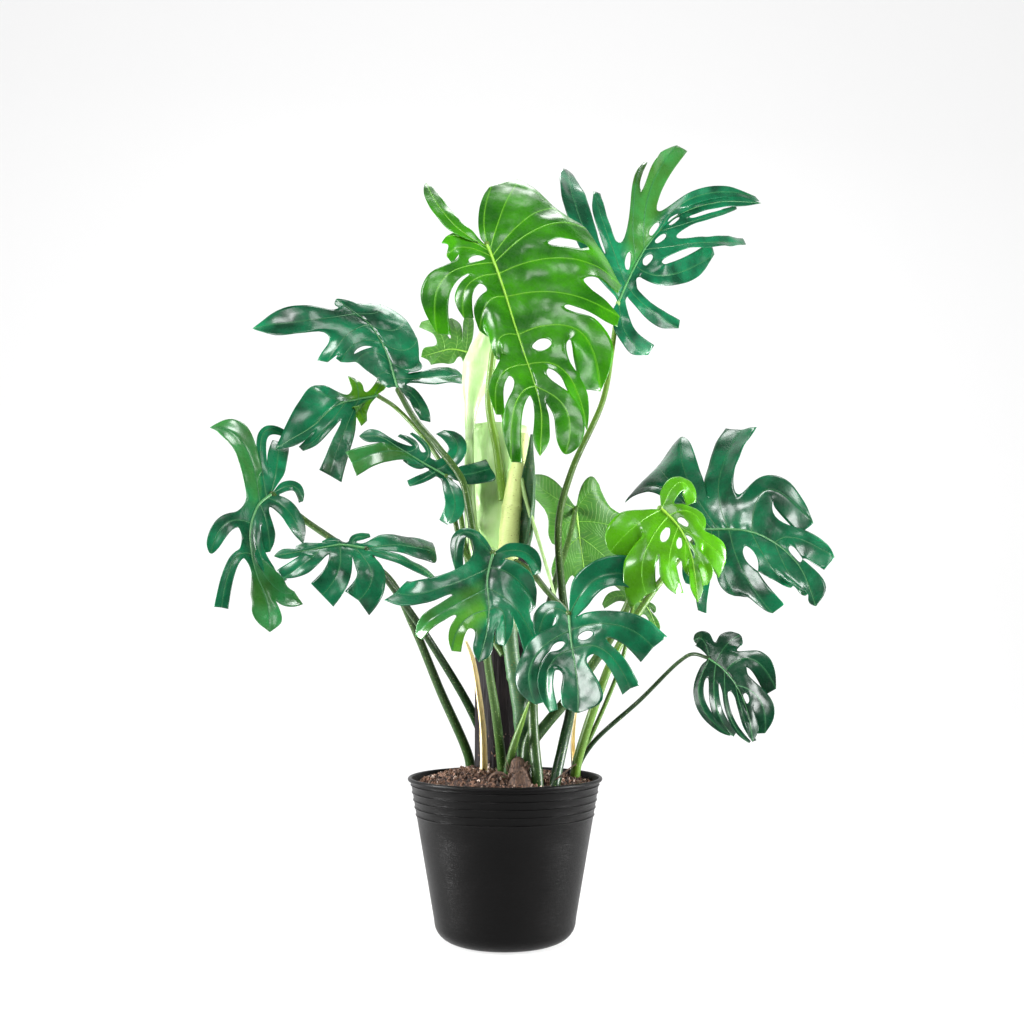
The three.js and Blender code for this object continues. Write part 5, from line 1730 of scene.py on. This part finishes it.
def bark_chip(name, rng):
    """A bark chip about one unit long: a flattened, broken lump."""
    lump = bmesh.new()
    bmesh.ops.create_icosphere(lump, subdivisions=2, radius=0.5)
    flat, narrow = rng.uniform(0.22, 0.5), rng.uniform(0.45, 0.85)
    offset = Vector((rng.uniform(0, 50), 0, 0))
    for vertex in lump.verts:
        rough = 1 + 0.45 * noise.noise(vertex.co * 2.6 + offset)
        vertex.co = Vector((vertex.co.x * 1.1, vertex.co.y * narrow, vertex.co.z * flat)) * rough
    bmesh.ops.dissolve_limit(lump, angle_limit=math.radians(22), verts=lump.verts, edges=lump.edges)
    mesh = bpy.data.meshes.new(name)
    lump.to_mesh(mesh)
    lump.free()
    return bpy.data.objects.new(name, mesh)


def strew(name, surface, per_m2, length, seed, settings):
    """An object of bark chips strewn over a surface."""
    rng = random.Random(seed)
    chips = bpy.data.collections.new("Bark chips")
    for kind in range(CHIP_KINDS):
        chips.objects.link(bark_chip(f"chip_{kind}", rng))
    tree, keys = scatter_tree()
    mesh = grown(name, surface, tree, keys, {
        "Chips": chips, "Density": per_m2, "Length": length, "Seed": seed,
        "Material": bark_chips(tuple(settings.dark), tuple(settings.light)),
    })
    for chip in list(chips.objects):
        bpy.data.objects.remove(chip)
    bpy.data.collections.remove(chips)
    return in_scene(name, mesh)


# Pieces

class PLANT_OT_pot(bpy.types.Operator):
    """Build the nursery pot with its rings and drain holes"""
    bl_idname = "plant.pot"
    bl_label = "Pot"

    def execute(self, context):
        settings = context.scene.plant_pot
        drains = [place[:2] for place in circle(DRAIN_CIRCLE, 0, DRAIN_COUNT)]
        pot = in_scene("pot", turned("pot", pot_profile(settings), settings.segments))
        drill = in_scene("drill", upright_rods("drill", drains, DRAIN_RADIUS, 20 * MM))
        cut = pot.modifiers.new("Drain", "BOOLEAN")
        cut.object = drill
        cut.operation = "DIFFERENCE"
        cut.solver = "EXACT"
        drained = plain_copy(pot)
        bpy.data.objects.remove(drill)
        piece = shown("nursery_pot", drained, moulded_plastic(settings.colour))
        drained.set_sharp_from_angle(angle=math.radians(40))
        finish_piece(piece, "pot", "pot")
        return {"FINISHED"}


class PLANT_OT_soil(bpy.types.Operator):
    """Build the mound of soil and strew bark chips on it"""
    bl_idname = "plant.soil"
    bl_label = "Soil"

    def execute(self, context):
        settings = context.scene.plant_soil
        edge = pot_wall(RING_TOP) - POT_WALL - 0.6 * MM
        points, faces = soil_surface(SOIL_RINGS, SOIL_SIDES, edge)
        upper = range(SOIL_SIDES)
        for radius, height in ((POT_SHOULDER_RADIUS - 5 * MM, 30 * MM), (POT_FOOT_RADIUS, 5 * MM)):
            lower = range(len(points), len(points) + SOIL_SIDES)
            points += circle(radius, height, SOIL_SIDES)
            for k in range(SOIL_SIDES):
                n = (k + 1) % SOIL_SIDES
                faces.append((upper[k], lower[k], lower[n], upper[n]))
            upper = lower
        faces.append(upper[::-1])
        ground = shown("soil_mound", new_mesh("soil_mound", points, faces), damp_soil())
        finish_piece(ground, "soil", "soil")

        top = new_mesh("top", *soil_surface(STREWN_RINGS, STREWN_SIDES, edge - 3 * MM))
        chips = strew(
            "bark_chips", top, settings.chips_per_m2, settings.chip_length, settings.seed, settings)
        finish_piece(chips, "soil")
        return {"FINISHED"}


class PLANT_OT_pole(bpy.types.Operator):
    """Build the climbing pole, with crumbs of bark at its foot"""
    bl_idname = "plant.pole"
    bl_label = "Pole"

    def execute(self, context):
        settings, soil = context.scene.plant_pole, context.scene.plant_soil
        points, faces = [], []
        for i in range(POLE_STEPS + 1):
            z = POLE_LOW.z + (POLE_HIGH.z - POLE_LOW.z) * i / POLE_STEPS
            for x, y, _ in circle(1, z, POLE_SIDES):
                place = Vector((x, y, 0)) * POLE_RADIUS
                fine = noise.noise(Vector((place.x, place.y, z * 0.08)) / settings.grain)
                broad = noise.noise(Vector((place.x, place.y, z * 0.5)) * 22)
                radius = POLE_RADIUS - settings.relief + (fine + broad * 0.8) * settings.relief
                points.append((POLE_CENTRE.x + x * radius, POLE_CENTRE.y + y * radius, z))
            if i:
                faces += ring_band(
                    range((i - 1) * POLE_SIDES, i * POLE_SIDES),
                    range(i * POLE_SIDES, (i + 1) * POLE_SIDES))
        faces += [range(POLE_SIDES)[::-1], range(POLE_STEPS * POLE_SIDES, len(points))]
        mesh = new_mesh("climbing_pole", points, faces)
        piece = shown("climbing_pole", mesh, pole_fibre(settings.colour))
        mesh.set_sharp_from_angle(angle=math.radians(60))
        finish_piece(piece, "pole", "support_pole")

        points = []
        for turn in range(-150, -20, 10):
            x = POLE_CENTRE.x + POLE_RADIUS * math.cos(math.radians(turn))
            y = POLE_CENTRE.y + POLE_RADIUS * math.sin(math.radians(turn))
            points += [(x, y, SOIL_EDGE_HEIGHT), (x, y, SOIL_EDGE_HEIGHT + CRUMB_REACH)]
        faces = [(k, k + 2, k + 3, k + 1) for k in range(0, len(points) - 2, 2)]
        patch = new_mesh("patch", points, faces)
        crumbs = strew("pole_crumbs", patch, CRUMBS_PER_M2, CRUMB_LENGTH, soil.seed + 5, soil)
        finish_piece(crumbs, "pole")
        return {"FINISHED"}


class PLANT_OT_stem(bpy.types.Operator):
    """Build the main stem with its leaf scars"""
    bl_idname = "plant.stem"
    bl_label = "Stem"

    def execute(self, context):
        places, shares = evenly(smooth_curve(rooted(STEM["path"])), 3 * MM)
        girth, youth = [], []
        for point, share in zip(places, shares):
            radius = along_list(STEM["radii"], share)
            for scar, height in STEM_SCARS:
                radius += height * math.exp(-((share - scar) / SCAR_WIDTH) ** 2)
            girth.append(radius * MM * (1 + 0.06 * noise.noise(point * 45)))
            youth.append(min(1, max(0, (share - STEM_GREEN_END) / STEM_FADE)))
        strands = Strands()
        strands.add(places, girth, youth)
        mesh = strands.tubes("climbing_stem", stem_skin(), 24)
        finish_piece(shown("climbing_stem", mesh), "stem", "main_stem")
        return {"FINISHED"}


class PLANT_OT_stalks(bpy.types.Operator):
    """Build a stalk for each leaf"""
    bl_idname = "plant.stalks"
    bl_label = "Leaf stalks"

    def execute(self, context):
        settings = context.scene.plant_stems
        skin = stalk_skin(settings)
        for leaf in LEAVES:
            name, stalk = "leaf_stalk_" + leaf["name"], leaf["stalk"]
            mesh = one_shoot(
                name, stalk_path(leaf), stalk["radii"], stalk["youth"], skin, settings.sides,
                settings.step)
            finish_piece(shown(name, mesh), "stalk", "stalk_" + leaf["name"])
        return {"FINISHED"}


class PLANT_OT_blades(bpy.types.Operator):
    """Build the split and holed leaf blades with their veins"""
    bl_idname = "plant.blades"
    bl_label = "Leaf blades"

    def execute(self, context):
        settings = context.scene.plant_leaves
        # The third colour of each upper skin is laid on where a lobe's tone is above 0. It is partly the
        # lobe's own yellow green and partly painted light showing through it.
        skins = {
            "dark": leaf_skin(
                "Old leaf skin", settings.dark, settings.dark_light, linear("4a8208"),
                linear("2f7444")),
            "bright": leaf_skin(
                "Young leaf skin", settings.bright, settings.bright_light, linear("6fae18"),
                linear("62ab1c")),
            "under": leaf_underside(settings.under, settings.vein),
        }
        ribs = {
            "dark": vein_skin("Old leaf vein", linear("0f4a2c"), linear("4d8c50")),
            "bright": vein_skin("Young leaf vein", linear("3f8f06"), linear("93c832")),
            "under": vein_skin("Underside vein", linear("3f7a14"), linear("7fae3a")),
        }
        for leaf in LEAVES:
            name, finish = leaf["name"], leaf["finish"]
            cage, sheet = blade_sheet(leaf, settings)
            veins = blade_veins(leaf, cage, sheet, "veins_" + name, ribs[finish])
            sheet.materials.append(skins[finish])
            sheet.materials.append(skins["dark" if finish == "under" else "under"])
            mesh = thickened("blade_" + name, sheet, settings.thickness, offset=-1, back=1)
            finish_piece(shown("blade_" + name, mesh), "leaf_" + finish, "leaf_" + name)
            finish_piece(shown("veins_" + name, veins), "leaf_" + finish)
        return {"FINISHED"}


class PLANT_OT_new_leaf(bpy.types.Operator):
    """Build the furled new leaf on its stalk"""
    bl_idname = "plant.new_leaf"
    bl_label = "New leaf"

    def execute(self, context):
        settings = context.scene.plant_stems
        growth = new_growth(settings)
        curve = smooth_curve(rooted(NEW_LEAF["path"]))
        lower = [curve(t) for t in np.linspace(0, ROLL_STALK_END, 12)]
        stalk = one_shoot(
            "new_stalk", lower, NEW_LEAF["stalk_radii"], (0.55, 0.8, 1), growth, settings.sides,
            settings.step)
        whole = joined("furled_leaf", [stalk, furled_sheet(curve, growth)])
        finish_piece(shown("furled_leaf", whole), "bud", "new_leaf")
        return {"FINISHED"}


class PLANT_OT_sheaths(bpy.types.Operator):
    """Build the dry sheath, the side shoot and the other sheaths of the stem"""
    bl_idname = "plant.sheaths"
    bl_label = "Sheaths"

    def execute(self, context):
        settings = context.scene.plant_stems
        paper, skin, pale = dry_paper(settings), stalk_skin(settings), new_growth(settings)
        dry = half_tube("papery_sheath", DRY_SHEATH, paper)
        finish_piece(shown("papery_sheath", dry), "sheath", "dry_sheath")
        young = one_shoot(
            "young_shoot", rooted(SIDE_SHOOT["path"]), SIDE_SHOOT["radii"], (0, 0.05, 0.3, 0.7), skin,
            16, settings.step)
        finish_piece(shown("young_shoot", young), "stalk", "side_shoot")
        bulb = one_shoot(
            "side_bulb", rooted(SIDE_BULB["path"]), SIDE_BULB["radii"], (0.05, 0.05), skin, 20,
            settings.step)
        finish_piece(shown("side_bulb", bulb), "stalk")
        for name, sheath, material, slot in (
            ("papery_strip", DRY_STRIP, paper, "sheath"),
            ("stem_sheath_right", STEM_SHEATH_RIGHT, stem_skin(), "stem"),
            ("stem_sheath_left", STEM_SHEATH_LEFT, pale, "bud"),
        ):
            finish_piece(shown(name, half_tube(name, sheath, material)), slot)
        return {"FINISHED"}


class PLANT_OT_roots(bpy.types.Operator):
    """Build the aerial root, the old stub and the small roots on the soil"""
    bl_idname = "plant.roots"
    bl_label = "Roots"

    def execute(self, context):
        settings = context.scene.plant_stems
        hanging = one_shoot(
            "hanging_root", rooted(AERIAL_ROOT["path"]), AERIAL_ROOT["radii"], (0.7, 0.9),
            stalk_skin(settings), 12, 3 * MM, unevenness=0.2)
        finish_piece(shown("hanging_root", hanging), "bud", "aerial_root")

        bark = root_bark()
        stub = Strands()
        shoot(stub, rooted(OLD_STUB["path"]), OLD_STUB["radii"], (0, 0), 2 * MM, unevenness=0.3)
        self.fibres(stub)
        finish_piece(shown("fibrous_stub", stub.tubes("fibrous_stub", bark, 14)), "root", "old_stub")

        roots = Strands()
        for root in SOIL_ROOTS:
            shoot(roots, path_points(root["path"]), root["radii"], (0, 0), 2 * MM, unevenness=0.2)
        finish_piece(shown("soil_roots", roots.tubes("soil_roots", bark, 10)), "root")
        return {"FINISHED"}

    def fibres(self, strands):
        """Short bent fibres that stand out all round the old stub."""
        rng = random.Random(FIBRE_SEED)
        low, _, high = path_points(OLD_STUB["path"])
        for _ in range(FIBRES):
            angle = rng.uniform(0, 2 * math.pi)
            out = Vector((math.cos(angle), math.sin(angle), 0))
            start = low.lerp(high, rng.uniform(0.1, 0.95)) + out * FIBRE_OUT
            bend = start + out * rng.uniform(1, 4) * MM + Vector((0, 0, rng.uniform(2, 7) * MM))
            end = bend + out * rng.uniform(-2, 5) * MM + Vector((0, 0, rng.uniform(-3, 8) * MM))
            shoot(strands, [start, bend, end], [0.7, 0.5, 0.25], (0, 0), 2 * MM)


class PLANT_OT_stage(bpy.types.Operator):
    """Build the pale floor, the lights and the camera"""
    bl_idname = "plant.stage"
    bl_label = "Stage"

    def execute(self, context):
        scene = context.scene
        settings = scene.plant_stage
        profile = [(FLOOR_FRONT, 0), (FLOOR_BACK - FLOOR_BEND, 0)]
        profile += rounded(FLOOR_BACK - FLOOR_BEND, 0, FLOOR_BEND, FLOOR_BEND, range(10, 91, 10))
        profile.append((FLOOR_BACK, BACKDROP_TOP))
        points = [(x, y, z) for y, z in profile for x in (-FLOOR_HALF_WIDTH, FLOOR_HALF_WIDTH)]
        faces = [(k, k + 1, k + 3, k + 2) for k in range(0, len(points) - 2, 2)]
        paper = studio_paper(settings.floor, settings.glow)
        floor = shown("floor", new_mesh("floor", points, faces), paper)

        for name, power, place, aim, size in LIGHTS:
            light = bpy.data.lights.new(name, "AREA")
            light.shape = "RECTANGLE"
            light.size, light.size_y = size
            light.energy = getattr(settings, power)
            lamp = in_scene(name, light)
            lamp.location = place
            lamp.rotation_euler = (Vector(aim) - Vector(place)).to_track_quat("-Z", "Y").to_euler()

        world = bpy.data.worlds.new("Studio surround")
        world.use_nodes = True
        set_inputs(world.node_tree.nodes["Background"], {
            "Color": (1, 1, 1, 1), "Strength": settings.world_strength})
        scene.world = world
        scene.view_settings.view_transform = "Standard"

        camera = bpy.data.cameras.new("camera")
        camera.sensor_width = SENSOR_WIDTH
        camera.lens = FOCAL_PIXELS / VIEW_PIXELS * SENSOR_WIDTH
        camera.clip_end = 30
        eye = in_scene("camera", camera)
        eye.location = EYE
        eye.rotation_euler = (math.pi / 2 + EYE_PITCH, 0, 0)
        scene.camera = eye
        return {"FINISHED"}


class PLANT_PT_panel(bpy.types.Panel):
    """The plant's settings and the buttons that build it"""
    bl_idname = "PLANT_PT_panel"
    bl_label = "Potted Swiss Cheese Plant"
    bl_space_type = "VIEW_3D"
    bl_region_type = "UI"
    bl_category = "Plant"

    def draw(self, context):
        for prop in SETTINGS:
            box = self.layout.box()
            settings = getattr(context.scene, prop)
            for name in settings.__annotations__:
                box.prop(settings, name)
        for operator in OPERATORS:
            self.layout.operator(operator.bl_idname)


SETTINGS = {
    "plant_pot": PotSettings,
    "plant_soil": SoilSettings,
    "plant_pole": PoleSettings,
    "plant_stems": StemSettings,
    "plant_leaves": LeafSettings,
    "plant_stage": StageSettings,
}
OPERATORS = (
    PLANT_OT_pot,
    PLANT_OT_soil,
    PLANT_OT_pole,
    PLANT_OT_stem,
    PLANT_OT_stalks,
    PLANT_OT_blades,
    PLANT_OT_new_leaf,
    PLANT_OT_sheaths,
    PLANT_OT_roots,
    PLANT_OT_stage,
)


def register():
    for settings in SETTINGS.values():
        bpy.utils.register_class(settings)
    for name, settings in SETTINGS.items():
        setattr(bpy.types.Scene, name, bpy.props.PointerProperty(type=settings))
    for kind in (*OPERATORS, PLANT_PT_panel):
        bpy.utils.register_class(kind)


def unregister():
    for kind in reversed((*OPERATORS, PLANT_PT_panel)):
        bpy.utils.unregister_class(kind)
    for name in SETTINGS:
        delattr(bpy.types.Scene, name)
    for settings in SETTINGS.values():
        bpy.utils.unregister_class(settings)


def main():
    register()
    bpy.ops.plant.pot()
    bpy.ops.plant.soil()
    bpy.ops.plant.pole()
    bpy.ops.plant.stem()
    bpy.ops.plant.stalks()
    bpy.ops.plant.blades()
    bpy.ops.plant.new_leaf()
    bpy.ops.plant.sheaths()
    bpy.ops.plant.roots()
    bpy.ops.plant.stage()


if __name__ == "__main__":
    main()
